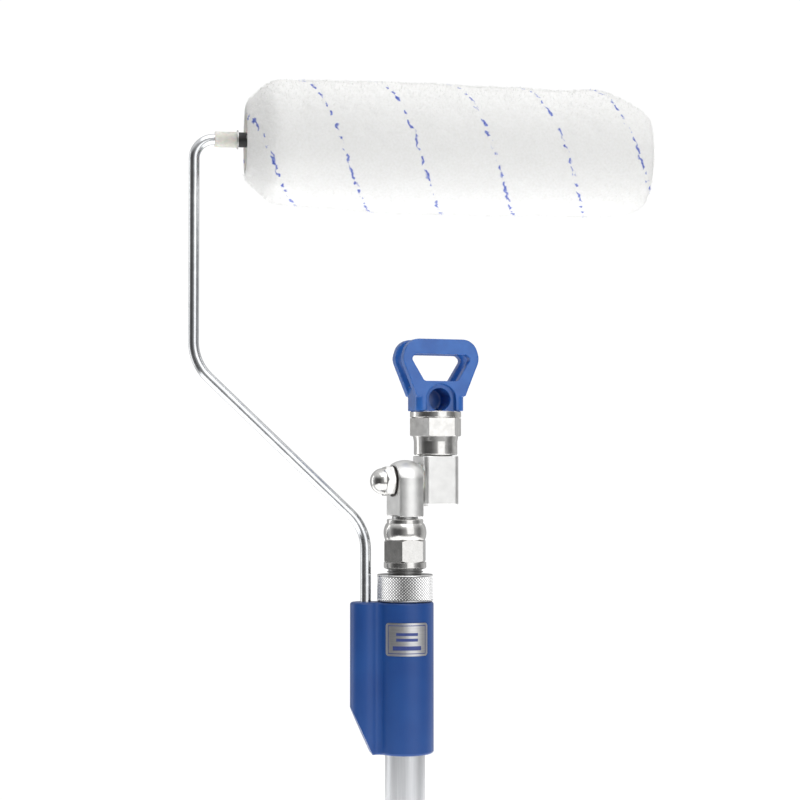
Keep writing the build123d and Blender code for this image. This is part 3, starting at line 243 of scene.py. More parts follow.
# marks 0.3 mm apart round the tube, 60 mm long
marks_map = add_node(
    tree,
    "ShaderNodeMapping",
    inputs={"Vector": place.outputs["Object"], "Scale": (3300, 3300, 16)},
)
marks = add_node(
    tree,
    "ShaderNodeTexNoise",
    inputs={"Vector": marks_map.outputs[0], "Scale": 1.0, "Detail": 3.0},
)
tone = add_node(
    tree,
    "ShaderNodeValToRGB",
    inputs={"Fac": marks.outputs["Fac"]},
    stops=[(0.25, "#B4B6B9"), (0.75, "#CFD0D2")],
)
gloss = add_node(
    tree, "ShaderNodeMapRange", inputs={"Value": marks.outputs["Fac"], "To Min": 0.27, "To Max": 0.42}
)
relief = add_node(
    tree, "ShaderNodeBump", inputs={"Height": marks.outputs["Fac"], "Strength": 0.35, "Distance": 0.00002}
)
tree.links.new(tone.outputs["Color"], shader.inputs["Base Color"])
tree.links.new(gloss.outputs[0], shader.inputs["Roughness"])
tree.links.new(relief.outputs["Normal"], shader.inputs["Normal"])
dress(drawn_aluminium, "extension_tube")

# ---- Turned fittings inside the tube and the swivel ----------------------------------------------
# Free-cutting steel, turned on a lathe: fine rings 0.25 mm apart and a dull grey shine.
turned_steel, tree, shader = new_material("turned_steel", {"Metallic": 1.0, "Roughness": 0.32})
place = add_node(tree, "ShaderNodeTexCoord")
rings = add_node(
    tree,
    "ShaderNodeTexWave",
    {"wave_type": "BANDS", "bands_direction": "Z"},
    {"Vector": place.outputs["Object"], "Scale": 640.0, "Distortion": 0.6, "Detail": 2.0},
)
tone = add_node(
    tree,
    "ShaderNodeValToRGB",
    inputs={"Fac": rings.outputs["Fac"]},
    stops=[(0.0, "#9A9A9A"), (1.0, "#B9B9B8")],
)
relief = add_node(
    tree, "ShaderNodeBump", inputs={"Height": rings.outputs["Fac"], "Strength": 0.4, "Distance": 0.00003}
)
tree.links.new(tone.outputs["Color"], shader.inputs["Base Color"])
tree.links.new(relief.outputs["Normal"], shader.inputs["Normal"])
dress(turned_steel, "tube_head", "tube_foot", "inlet_stem", "pivot_stem", "tip_seat", "thrust_washers")

# ---- Seals and washers ---------------------------------------------------------------------------
# Moulded black rubber rings, and turned discs and sleeves of undyed nylon, which is milky and waxy.
black_rubber, tree, shader = new_material("moulded_black_rubber", {"Base Color": "#1B1B1C", "IOR": 1.5})
place = add_node(tree, "ShaderNodeTexCoord")
bloom = add_node(
    tree, "ShaderNodeTexNoise", inputs={"Vector": place.outputs["Object"], "Scale": 900.0, "Detail": 4.0}
)
gloss = add_node(
    tree, "ShaderNodeMapRange", inputs={"Value": bloom.outputs["Fac"], "To Min": 0.5, "To Max": 0.8}
)
tree.links.new(gloss.outputs[0], shader.inputs["Roughness"])
dress(black_rubber, "gun_gasket", "collar_washer", "pivot_rings")

natural_nylon, tree, shader = new_material(
    "natural_nylon",
    {"IOR": 1.53, "Roughness": 0.42, "Subsurface Weight": 0.25, "Subsurface Scale": 0.002},
)
place = add_node(tree, "ShaderNodeTexCoord")
cloud = add_node(
    tree, "ShaderNodeTexNoise", inputs={"Vector": place.outputs["Object"], "Scale": 420.0, "Detail": 3.0}
)
tone = add_node(
    tree,
    "ShaderNodeValToRGB",
    inputs={"Fac": cloud.outputs["Fac"]},
    stops=[(0.3, "#D9D7CE"), (0.7, "#E9E7E0")],
)
tree.links.new(tone.outputs["Color"], shader.inputs["Base Color"])
dress(natural_nylon, "axle_sleeve", "inlet_gasket", "pivot_washer", "seat_seal")

# ---- Bright nuts ---------------------------------------------------------------------------------
# Brass hexagon nuts under bright nickel: nearly a mirror, with faint machining lines across the
# flats, a slightly cloudy plate and edges rounded by the tumbling barrel.
bright_nickel, tree, shader = new_material("bright_nickel_plate", {"Metallic": 1.0})
place = add_node(tree, "ShaderNodeTexCoord")
cutter_map = add_node(
    tree,
    "ShaderNodeMapping",
    inputs={"Vector": place.outputs["Object"], "Scale": (90, 90, 2600)},
)
cutter = add_node(
    tree,
    "ShaderNodeTexNoise",
    inputs={"Vector": cutter_map.outputs[0], "Scale": 1.0, "Detail": 3.0},
)
cloud = add_node(
    tree, "ShaderNodeTexNoise", inputs={"Vector": place.outputs["Object"], "Scale": 260.0, "Detail": 3.0}
)
tone = add_node(
    tree,
    "ShaderNodeValToRGB",
    inputs={"Fac": cloud.outputs["Fac"]},
    stops=[(0.3, "#C4C3C1"), (0.7, "#D6D5D3")],
)
gloss = add_node(
    tree, "ShaderNodeMapRange", inputs={"Value": cloud.outputs["Fac"], "To Min": 0.10, "To Max": 0.24}
)
rounded = add_node(tree, "ShaderNodeBevel", {"samples": 6}, {"Radius": 0.0003})
relief = add_node(
    tree,
    "ShaderNodeBump",
    inputs={
        "Height": cutter.outputs["Fac"],
        "Strength": 0.3,
        "Distance": 0.00002,
        "Normal": rounded.outputs["Normal"],
    },
)
tree.links.new(tone.outputs["Color"], shader.inputs["Base Color"])
tree.links.new(gloss.outputs[0], shader.inputs["Roughness"])
tree.links.new(relief.outputs["Normal"], shader.inputs["Normal"])
dress(bright_nickel, "gun_nut", "swivel_nut", "guard_nut", "cap_nut")

# ---- Housing -------------------------------------------------------------------------------------
# One moulding of blue ABS round the tube and the wire's foot.  The mould was spark eroded, so the
# skin has a fine grain and a satin sheen rather than a clean gloss.
moulded_abs, tree, shader = new_material("moulded_blue_abs", {"IOR": 1.54, "Specular IOR Level": 0.4})
place = add_node(tree, "ShaderNodeTexCoord")
flow = add_node(
    tree, "ShaderNodeTexNoise", inputs={"Vector": place.outputs["Object"], "Scale": 38.0, "Detail": 2.0}
)
# erosion grain of about 0.6 mm, coarser than the real 0.1 mm so that it shows
grain = add_node(
    tree, "ShaderNodeTexNoise", inputs={"Vector": place.outputs["Object"], "Scale": 1700.0, "Detail": 2.0}
)
tone = add_node(
    tree,
    "ShaderNodeValToRGB",
    inputs={"Fac": flow.outputs["Fac"]},
    stops=[(0.3, "#103F82"), (0.7, "#15478B")],
)
gloss = add_node(
    tree, "ShaderNodeMapRange", inputs={"Value": grain.outputs["Fac"], "To Min": 0.30, "To Max": 0.46}
)
relief = add_node(
    tree, "ShaderNodeBump", inputs={"Height": grain.outputs["Fac"], "Strength": 0.35, "Distance": 0.00006}
)
tree.links.new(tone.outputs["Color"], shader.inputs["Base Color"])
tree.links.new(gloss.outputs[0], shader.inputs["Roughness"])
tree.links.new(relief.outputs["Normal"], shader.inputs["Normal"])
dress(moulded_abs, "housing")

# ---- Black steel: set screw and washer under the acorn nut ---------------------------------------
# Black-oxide steel, oiled: dark, with a dull shine and a few brown rubs.
black_oxide, tree, shader = new_material("black_oxide_steel", {"Metallic": 1.0})
place = add_node(tree, "ShaderNodeTexCoord")
rubs = add_node(
    tree, "ShaderNodeTexNoise", inputs={"Vector": place.outputs["Object"], "Scale": 700.0, "Detail": 4.0}
)
tone = add_node(
    tree,
    "ShaderNodeValToRGB",
    inputs={"Fac": rubs.outputs["Fac"]},
    stops=[(0.4, "#2A2929"), (0.75, "#4B4541")],
)
gloss = add_node(
    tree, "ShaderNodeMapRange", inputs={"Value": rubs.outputs["Fac"], "To Min": 0.3, "To Max": 0.5}
)
tree.links.new(tone.outputs["Color"], shader.inputs["Base Color"])
tree.links.new(gloss.outputs[0], shader.inputs["Roughness"])
dress(black_oxide, "frame_set_screw", "cap_washer")

# ---- Label ---------------------------------------------------------------------------------------
# A blank aluminium foil plate, brushed from side to side, with a thin printed rule round it and
# three plain printed bars.
low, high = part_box("label_plate")
label_middle = (low.z + high.z) / 2
LABEL_HALF_HEIGHT = (high.z - low.z) / 2
RULE_INSET = 0.0013
RULE_WIDTH = 0.0005
brushed_foil, tree, shader = new_material("brushed_label_foil", {"Roughness": 0.3, "Anisotropic": 0.3})
place = add_node(tree, "ShaderNodeTexCoord")
# brush lines 0.15 mm apart, about 12 mm long
brush_map = add_node(
    tree,
    "ShaderNodeMapping",
    inputs={"Vector": place.outputs["Object"], "Scale": (80, 80, 6600)},
)
brush = add_node(
    tree,
    "ShaderNodeTexNoise",
    inputs={"Vector": brush_map.outputs[0], "Scale": 1.0, "Detail": 2.0},
)
foil = add_node(
    tree,
    "ShaderNodeValToRGB",
    inputs={"Fac": brush.outputs["Fac"]},
    stops=[(0.25, "#B9B9BB"), (0.75, "#DADADB")],
)
parts = add_node(tree, "ShaderNodeSeparateXYZ", inputs={0: place.outputs["Object"]})
front = add_node(tree, "ShaderNodeMath", {"operation": "MULTIPLY"}, {0: parts.outputs["Y"], 1: -1.0})
turn = add_node(
    tree,
    "ShaderNodeMath",
    {"operation": "ARCTAN2"},
    {0: parts.outputs["X"], 1: front.outputs[0]},
)
LABEL_RADIUS = 0.01805
LABEL_TURN = math.radians(-4)
along = add_node(
    tree,
    "ShaderNodeMath",
    {"operation": "MULTIPLY_ADD"},
    {0: turn.outputs[0], 1: LABEL_RADIUS, 2: -LABEL_TURN * LABEL_RADIUS},
)
side = add_node(tree, "ShaderNodeMath", {"operation": "ABSOLUTE"}, {0: along.outputs[0]})
up = add_node(tree, "ShaderNodeMath", {"operation": "SUBTRACT"}, {0: parts.outputs["Z"], 1: label_middle})
level = add_node(tree, "ShaderNodeMath", {"operation": "ABSOLUTE"}, {0: up.outputs[0]})
LABEL_HALF_WIDTH = 0.0137
from_side = add_node(
    tree, "ShaderNodeMath", {"operation": "SUBTRACT"}, {0: LABEL_HALF_WIDTH - RULE_INSET, 1: side.outputs[0]}
)
from_level = add_node(
    tree,
    "ShaderNodeMath",
    {"operation": "SUBTRACT"},
    {0: LABEL_HALF_HEIGHT - RULE_INSET, 1: level.outputs[0]},
)
inside = add_node(
    tree, "ShaderNodeMath", {"operation": "MINIMUM"}, {0: from_side.outputs[0], 1: from_level.outputs[0]}
)
rule = add_node(
    tree,
    "ShaderNodeMath",
    {"operation": "COMPARE"},
    {0: inside.outputs[0], 1: RULE_WIDTH / 2, 2: RULE_WIDTH / 2},
)
printed = rule.outputs[0]
for height, half_length, half_width in (
    (0.0032, 0.0068, 0.0009),
    (-0.0002, 0.0068, 0.0009),
    (-0.0052, 0.0090, 0.0013),
):
    near = add_node(
        tree,
        "ShaderNodeMath",
        {"operation": "COMPARE"},
        {0: up.outputs[0], 1: height, 2: half_width},
    )
    short = add_node(tree, "ShaderNodeMath", {"operation": "LESS_THAN"}, {0: side.outputs[0], 1: half_length})
    bar = add_node(
        tree,
        "ShaderNodeMath",
        {"operation": "MULTIPLY"},
        {0: near.outputs[0], 1: short.outputs[0]},
    )
    both = add_node(tree, "ShaderNodeMath", {"operation": "MAXIMUM"}, {0: printed, 1: bar.outputs[0]})
    printed = both.outputs[0]
inked = add_node(
    tree,
    "ShaderNodeMix",
    {"data_type": "RGBA"},
    {"Factor": printed, 6: foil.outputs["Color"], 7: linear("#3C4A86")},
)
bare = add_node(
    tree, "ShaderNodeMapRange", inputs={"Value": printed, "To Min": 1.0, "To Max": 0.2}
)
relief = add_node(
    tree, "ShaderNodeBump", inputs={"Height": brush.outputs["Fac"], "Strength": 0.4, "Distance": 0.00002}
)
tree.links.new(inked.outputs[2], shader.inputs["Base Color"])
tree.links.new(bare.outputs[0], shader.inputs["Metallic"])
tree.links.new(relief.outputs["Normal"], shader.inputs["Normal"])
dress(brushed_foil, "label_plate")

# ---- Wire frame ----------------------------------------------------------------------------------
# Bent steel rod, barrel plated with bright zinc: mirror-like, with a faint waviness and draw marks
# along it that break the highlight up.
zinc_plate, tree, shader = new_material("bright_zinc_plate", {"Metallic": 1.0})
place = add_node(tree, "ShaderNodeTexCoord")
cloud = add_node(
    tree, "ShaderNodeTexNoise", inputs={"Vector": place.outputs["Object"], "Scale": 170.0, "Detail": 4.0}
)
tone = add_node(
    tree,
    "ShaderNodeValToRGB",
    inputs={"Fac": cloud.outputs["Fac"]},
    stops=[(0.3, "#C9CBCE"), (0.7, "#E0E2E4")],
)
gloss = add_node(
    tree, "ShaderNodeMapRange", inputs={"Value": cloud.outputs["Fac"], "To Min": 0.10, "To Max": 0.26}
)
relief = add_node(
    tree, "ShaderNodeBump", inputs={"Height": cloud.outputs["Fac"], "Strength": 0.15, "Distance": 0.0002}
)
tree.links.new(tone.outputs["Color"], shader.inputs["Base Color"])
tree.links.new(gloss.outputs[0], shader.inputs["Roughness"])
tree.links.new(relief.outputs["Normal"], shader.inputs["Normal"])
dress(zinc_plate, "frame_wire")

# ---- Cage ----------------------------------------------------------------------------------------
# Glass-filled black nylon bushes and discs on drawn steel rods, with a push nut of blued spring
# steel on the axle's end.
black_nylon, tree, shader = new_material("moulded_black_nylon", {"IOR": 1.53})
place = add_node(tree, "ShaderNodeTexCoord")
fibres = add_node(
    tree, "ShaderNodeTexNoise", inputs={"Vector": place.outputs["Object"], "Scale": 1300.0, "Detail": 3.0}
)
tone = add_node(
    tree,
    "ShaderNodeValToRGB",
    inputs={"Fac": fibres.outputs["Fac"]},
    stops=[(0.35, "#1C1C1E"), (0.75, "#2C2C2E")],
)
gloss = add_node(
    tree, "ShaderNodeMapRange", inputs={"Value": fibres.outputs["Fac"], "To Min": 0.42, "To Max": 0.62}
)
relief = add_node(
    tree, "ShaderNodeBump", inputs={"Height": fibres.outputs["Fac"], "Strength": 0.3, "Distance": 0.00006}
)
tree.links.new(tone.outputs["Color"], shader.inputs["Base Color"])
tree.links.new(gloss.outputs[0], shader.inputs["Roughness"])
tree.links.new(relief.outputs["Normal"], shader.inputs["Normal"])
dress(black_nylon, "cage_bushes", "cage_discs")

drawn_steel, tree, shader = new_material("drawn_steel_rod", {"Metallic": 1.0, "Roughness": 0.3})
place = add_node(tree, "ShaderNodeTexCoord")
marks_map = add_node(
    tree,
    "ShaderNodeMapping",
    inputs={"Vector": place.outputs["Object"], "Scale": (30, 2500, 2500)},
)
marks = add_node(
    tree,
    "ShaderNodeTexNoise",
    inputs={"Vector": marks_map.outputs[0], "Scale": 1.0, "Detail": 2.0},
)
tone = add_node(
    tree,
    "ShaderNodeValToRGB",
    inputs={"Fac": marks.outputs["Fac"]},
    stops=[(0.3, "#8F8F90"), (0.7, "#B4B4B5")],
)
tree.links.new(tone.outputs["Color"], shader.inputs["Base Color"])
dress(drawn_steel, "cage_rods")

spring_steel, tree, shader = new_material("tempered_spring_steel", {"Metallic": 1.0, "Roughness": 0.35})
place = add_node(tree, "ShaderNodeTexCoord")
temper = add_node(
    tree, "ShaderNodeTexNoise", inputs={"Vector": place.outputs["Object"], "Scale": 500.0, "Detail": 2.0}
)
tone = add_node(
    tree,
    "ShaderNodeValToRGB",
    inputs={"Fac": temper.outputs["Fac"]},
    stops=[(0.35, "#4C4D55"), (0.7, "#6C655C")],
)
tree.links.new(tone.outputs["Color"], shader.inputs["Base Color"])
dress(spring_steel, "push_nut", "snap_ring")

# ---- White cover core and end caps ---------------------------------------------------------------
# The cover's tube is extruded white polypropylene, and the caps and plug are moulded from the same:
# slightly waxy, with faint flow marks.
white_polypropylene, tree, shader = new_material(
    "white_polypropylene",
    {"IOR": 1.49, "Subsurface Weight": 0.2, "Subsurface Scale": 0.002},
)
place = add_node(tree, "ShaderNodeTexCoord")
flow = add_node(
    tree, "ShaderNodeTexNoise", inputs={"Vector": place.outputs["Object"], "Scale": 120.0, "Detail": 3.0}
)
tone = add_node(
    tree,
    "ShaderNodeValToRGB",
    inputs={"Fac": flow.outputs["Fac"]},
    stops=[(0.3, "#E2E1DC"), (0.7, "#EFEEEA")],
)
gloss = add_node(
    tree, "ShaderNodeMapRange", inputs={"Value": flow.outputs["Fac"], "To Min": 0.38, "To Max": 0.52}
)
tree.links.new(tone.outputs["Color"], shader.inputs["Base Color"])
tree.links.new(gloss.outputs[0], shader.inputs["Roughness"])
dress(white_polypropylene, "cover_core", "cage_cap_inner", "cage_cap_outer", "cage_plug")

# ---- Pile of the cover ---------------------------------------------------------------------------
# Woven polyester pile, 18 mm deep, sheared round and singed at the ends.  It is soft, hangs a
# little under its own weight and slumps over the free end.  A blue thread runs round in two helices.


def deselect_all():
    bpy.ops.object.select_all(action="DESELECT")


def select_edges(piece, test):
    """In edit mode, selects only the edges that pass a test on the edge."""
    bpy.ops.mesh.select_mode(type="EDGE")
    bpy.ops.mesh.select_all(action="DESELECT")
    mesh = bmesh.from_edit_mesh(piece.data)
    for edge in mesh.edges:
        edge.select_set(test(edge))
    bmesh.update_edit_mesh(piece.data)


def put_in_place(piece, name, material, body):
    """Names a finished piece, moves its place into its mesh and lets it ride on its body."""
    piece.name = name
    piece.data.name = name
    deselect_all()
    piece.select_set(True)
    bpy.context.view_layer.objects.active = piece
    bpy.ops.object.transform_apply(location=True, rotation=True, scale=True)
    piece.data.materials.clear()
    piece.data.materials.append(material)
    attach(piece, body)


axle_height = joints["roller_spin"]["pos_m"][2]
low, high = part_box("cover_core")
cover_start, cover_end = low.x, high.x
core_radius = (high.z - low.z) / 2
PILE_BORE = core_radius + 0.0001
RING_SPACING = 0.0026
# distance from the middle of the cover, radius and how far the pile hangs, in mm
PILE_RINGS = (
    (-125.15, 19.4, 0.0),
    (-125.6, 21.6, 0.2),
    (-124.4, 23.9, 0.5),
    (-120.9, 27.2, 0.6),
    (-117.1, 30.9, 0.6),
    (-113.0, 34.4, 0.8),
    (-109.0, 36.7, 1.0),
    (-104.5, 37.6, 1.2),
    (-98.0, 37.9, 1.4),
    (-88.0, 38.1, 1.5),
    (-73.0, 38.7, 1.8),
    (-58.2, 39.4, 2.4),
    (-43.0, 40.0, 2.9),
    (-28.0, 39.8, 3.0),
    (-13.4, 40.0, 3.0),
    (2.0, 39.6, 3.1),
    (17.0, 39.4, 3.5),
    (32.0, 39.3, 3.8),
    (47.0, 39.2, 3.7),
    (62.0, 38.6, 3.8),
    (77.5, 38.8, 3.6),
    (92.9, 38.9, 3.4),
    (100.6, 38.0, 4.2),
    (108.3, 36.0, 5.7),
    (116.0, 33.3, 7.0),
    (121.0, 31.3, 7.6),
    (124.0, 29.4, 7.4),
    (125.2, 27.0, 6.0),
    (125.5, 23.6, 2.4),
    (125.1, 20.8, 0.0),
)
middle = (cover_start + cover_end) / 2
deselect_all()
bpy.ops.mesh.primitive_circle_add(
    vertices=112,
    radius=PILE_BORE,
    location=(cover_start, 0, axle_height),
    rotation=(0, math.radians(90), 0),
)
pile = bpy.context.object
bpy.ops.object.transform_apply(location=True, rotation=True, scale=True)
bpy.ops.object.mode_set(mode="EDIT")
bpy.ops.mesh.select_mode(type="EDGE")
bpy.ops.mesh.select_all(action="SELECT")
ring_x, ring_radius, ring_z = cover_start, PILE_BORE, axle_height
for number, (along_mm, radius_mm, hang_mm) in enumerate(PILE_RINGS):
    next_x = middle + along_mm / 1000
    next_radius = radius_mm / 1000
    next_z = axle_height - hang_mm / 1000
    steps = max(1, round(abs(next_x - ring_x) / RING_SPACING))
    for step in range(1, steps + 1):
        share = step / steps
        x = ring_x + (next_x - ring_x) * share
        radius = ring_radius + (next_radius - ring_radius) * share
        z = ring_z + (next_z - ring_z) * share
        if step == 1:
            at_x, at_radius, at_z = ring_x, ring_radius, ring_z
        bpy.ops.mesh.extrude_region_move(TRANSFORM_OT_translate={"value": (x - at_x, 0, z - at_z)})
        grow = radius / at_radius
        bpy.ops.transform.resize(value=(1, grow, grow), center_override=(x, 0, z))
        at_x, at_radius, at_z = x, radius, z
    ring_x, ring_radius, ring_z = next_x, next_radius, next_z
# back through the bore to the first ring
bpy.ops.mesh.extrude_region_move(
    TRANSFORM_OT_translate={"value": (cover_end - ring_x, 0, axle_height - ring_z)}
)
bpy.ops.transform.resize(
    value=(1, PILE_BORE / ring_radius, PILE_BORE / ring_radius), center_override=(cover_end, 0, axle_height)
)
for step in range(10):
    bpy.ops.mesh.extrude_region_move(TRANSFORM_OT_translate={"value": ((cover_start - cover_end) / 10, 0, 0)})
bpy.ops.mesh.select_all(action="SELECT")
bpy.ops.mesh.remove_doubles(threshold=0.00001)
bpy.ops.mesh.normals_make_consistent(inside=False)
bpy.ops.object.mode_set(mode="OBJECT")

# the outside alone is lumpy
LUMPS_START = 0.0015
LUMPS_FULL = 0.006
outside = pile.vertex_groups.new(name="outside")
for vertex in pile.data.vertices:
    from_axle = math.hypot(vertex.co.y, vertex.co.z - axle_height)
    if from_axle > core_radius + LUMPS_START:
        outside.add([vertex.index], min(1.0, (from_axle - core_radius) / LUMPS_FULL), "REPLACE")
smoother = pile.modifiers.new("rounding", "SUBSURF")
smoother.levels = 1
smoother.render_levels = 1
bpy.ops.object.modifier_apply(modifier="rounding")
for name, size, strength in (("slump", 0.045, 0.0016), ("clumps", 0.009, 0.0009), ("tufts", 0.0036, 0.0006)):
    lumps = bpy.data.textures.new(name, "CLOUDS")
    lumps.noise_scale = size
    lumps.noise_depth = 1
    shaper = pile.modifiers.new(name, "DISPLACE")
    shaper.texture = lumps
    shaper.texture_coords = "LOCAL"
    shaper.strength = strength
    shaper.mid_level = 0.5
    shaper.vertex_group = "outside"
    bpy.ops.object.modifier_apply(modifier=name)
bpy.ops.object.shade_smooth()

MARKER_SPACING = 0.0455
MARKER_START = -0.0456
white_pile, tree, shader = new_material(
    "woven_polyester_pile",
    {
        "Roughness": 0.85,
        "IOR": 1.5,
        "Specular IOR Level": 0.15,
        "Subsurface Weight": 0.35,
        "Subsurface Radius": (1.0, 1.0, 1.0),
        "Subsurface Scale": 0.004,
        "Sheen Weight": 0.15,
        "Sheen Roughness": 0.5,
    },
)
place = add_node(tree, "ShaderNodeTexCoord")
parts = add_node(tree, "ShaderNodeSeparateXYZ", inputs={0: place.outputs["Object"]})
front = add_node(tree, "ShaderNodeMath", {"operation": "MULTIPLY"}, {0: parts.outputs["Y"], 1: -1.0})
rise = add_node(tree, "ShaderNodeMath", {"operation": "SUBTRACT"}, {0: parts.outputs["Z"], 1: axle_height})
turn = add_node(tree, "ShaderNodeMath", {"operation": "ARCTAN2"}, {0: front.outputs[0], 1: rise.outputs[0]})
strays = add_node(
    tree, "ShaderNodeTexNoise", inputs={"Vector": place.outputs["Object"], "Scale": 230.0, "Detail": 1.0}
)
stray = add_node(
    tree, "ShaderNodeMapRange", inputs={"Value": strays.outputs["Fac"], "To Min": -0.05, "To Max": 0.05}
)
# a line where the distance along, less half a turn for each spacing, comes to a whole number
along = add_node(
    tree,
    "ShaderNodeMath",
    {"operation": "MULTIPLY_ADD"},
    {0: parts.outputs["X"], 1: 1 / MARKER_SPACING, 2: 1.0 - MARKER_START / MARKER_SPACING},
)
half_turns = add_node(
    tree,
    "ShaderNodeMath",
    {"operation": "MULTIPLY_ADD"},
    {0: turn.outputs[0], 1: -1 / math.pi, 2: along.outputs[0]},
)
wavy = add_node(tree, "ShaderNodeMath", {"operation": "ADD"}, {0: half_turns.outputs[0], 1: stray.outputs[0]})
share = add_node(tree, "ShaderNodeMath", {"operation": "FRACT"}, {0: wavy.outputs[0]})
off_line = add_node(tree, "ShaderNodeMath", {"operation": "SUBTRACT"}, {0: share.outputs[0], 1: 0.5})
distance = add_node(tree, "ShaderNodeMath", {"operation": "ABSOLUTE"}, {0: off_line.outputs[0]})
thread = add_node(
    tree,
    "ShaderNodeMapRange",
    inputs={
        "Value": distance.outputs[0],
        "From Min": 0.010,
        "From Max": 0.026,
        "To Min": 1.0,
        "To Max": 0.0,
    },
)
# the thread comes up through the pile every 5 mm or so
stitch = add_node(
    tree, "ShaderNodeTexNoise", inputs={"Vector": place.outputs["Object"], "Scale": 260.0, "Detail": 0.0}
)
dash = add_node(
    tree, "ShaderNodeMapRange", inputs={"Value": stitch.outputs["Fac"], "From Min": 0.48, "From Max": 0.56}
)
blue = add_node(tree, "ShaderNodeMath", {"operation": "MULTIPLY"}, {0: thread.outputs[0], 1: dash.outputs[0]})
shade = add_node(
    tree, "ShaderNodeTexNoise", inputs={"Vector": place.outputs["Object"], "Scale": 700.0, "Detail": 2.0}
)
dyed = add_node(
    tree,
    "ShaderNodeValToRGB",
    inputs={"Fac": shade.outputs["Fac"]},
    stops=[(0.35, "#4A5FC0"), (0.7, "#93A2E0")],
)
undyed = add_node(
    tree,
    "ShaderNodeValToRGB",
    inputs={"Fac": shade.outputs["Fac"]},
    stops=[(0.3, "#F6F6F4"), (0.7, "#FDFDFC")],
)
yarn = add_node(
    tree,
    "ShaderNodeMix",
    {"data_type": "RGBA"},
    {"Factor": blue.outputs[0], 6: undyed.outputs["Color"], 7: dyed.outputs["Color"]},
)
# fibre ends about 0.7 mm apart
nap = add_node(
    tree, "ShaderNodeTexNoise", inputs={"Vector": place.outputs["Object"], "Scale": 1400.0, "Detail": 3.0}
)
relief = add_node(
    tree, "ShaderNodeBump", inputs={"Height": nap.outputs["Fac"], "Strength": 0.5, "Distance": 0.0004}
)
tree.links.new(yarn.outputs[2], shader.inputs["Base Color"])
tree.links.new(relief.outputs["Normal"], shader.inputs["Normal"])

# loose fibre ends stand out of the sheared surface: one fibre, set all over the pile
FIBRE_LENGTH = 0.0022
deselect_all()
bpy.ops.mesh.primitive_cone_add(
    vertices=3,
    radius1=0.00013,
    depth=FIBRE_LENGTH,
    location=(0, 0, FIBRE_LENGTH * 0.3),
)
fibre = bpy.context.object
bpy.ops.object.transform_apply(location=True)
bpy.ops.object.mode_set(mode="EDIT")
mesh = bmesh.from_edit_mesh(fibre.data)
for vertex in mesh.verts:
    vertex.select_set(vertex.co.z > FIBRE_LENGTH * 0.7)
mesh.select_flush_mode()
bmesh.update_edit_mesh(fibre.data)
bpy.ops.transform.translate(value=(FIBRE_LENGTH * 0.3, 0, 0))
bpy.ops.object.mode_set(mode="OBJECT")

sowing = bpy.data.node_groups.new("sow_fibres", "GeometryNodeTree")
sowing.interface.new_socket("Geometry", in_out="INPUT", socket_type="NodeSocketGeometry")
sowing.interface.new_socket("Geometry", in_out="OUTPUT", socket_type="NodeSocketGeometry")
ground = add_node(sowing, "NodeGroupInput")
position = add_node(sowing, "GeometryNodeInputPosition")
lowered = add_node(
    sowing,
    "ShaderNodeVectorMath",
    {"operation": "SUBTRACT"},
    {0: position.outputs[0], 1: (0, 0, axle_height)},
)
square_on = add_node(
    sowing, "ShaderNodeVectorMath", {"operation": "MULTIPLY"}, {0: lowered.outputs[0], 1: (0, 1, 1)}
)
reach = add_node(sowing, "ShaderNodeVectorMath", {"operation": "LENGTH"}, {0: square_on.outputs[0]})
outer = add_node(
    sowing,
    "FunctionNodeCompare",
    {"operation": "GREATER_THAN"},
    {0: reach.outputs["Value"], 1: core_radius + 0.002},
)
spots = add_node(
    sowing,
    "GeometryNodeDistributePointsOnFaces",
    inputs={"Mesh": ground.outputs[0], "Selection": outer.outputs[0], "Density": 560000.0, "Seed": 7},
)
lean = add_node(
    sowing,
    "FunctionNodeRandomValue",
    {"data_type": "FLOAT_VECTOR"},
    {0: (-0.7, -0.7, -3.1), 1: (0.7, 0.7, 3.1), "Seed": 3},
)
leaning = add_node(
    sowing,
    "FunctionNodeRotateRotation",
    {"rotation_space": "LOCAL"},
    {0: spots.outputs["Rotation"], 1: lean.outputs[0]},
)
one_fibre = add_node(sowing, "GeometryNodeObjectInfo", inputs={"Object": fibre})
long_or_short = add_node(
    sowing, "FunctionNodeRandomValue", {"data_type": "FLOAT"}, {2: 0.6, 3: 1.25, "Seed": 5}
)
planted = add_node(
    sowing,
    "GeometryNodeInstanceOnPoints",
    inputs={
        "Points": spots.outputs["Points"],
        "Instance": one_fibre.outputs["Geometry"],
        "Rotation": leaning.outputs[0],
        "Scale": long_or_short.outputs[1],
    },
)
real = add_node(sowing, "GeometryNodeRealizeInstances", inputs={"Geometry": planted.outputs[0]})
add_node(sowing, "NodeGroupOutput", inputs={0: real.outputs[0]})

deselect_all()
pile.select_set(True)
bpy.context.view_layer.objects.active = pile
bpy.ops.object.duplicate()
fuzz = bpy.context.object
sower = fuzz.modifiers.new("fibres", "NODES")
sower.node_group = sowing
bpy.ops.object.modifier_apply(modifier="fibres")
bpy.data.objects.remove(fibre)
put_in_place(pile, "pile_body", white_pile, "cover")
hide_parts("cover_nap")
put_in_place(fuzz, "pile_fibres", white_pile, "cover")

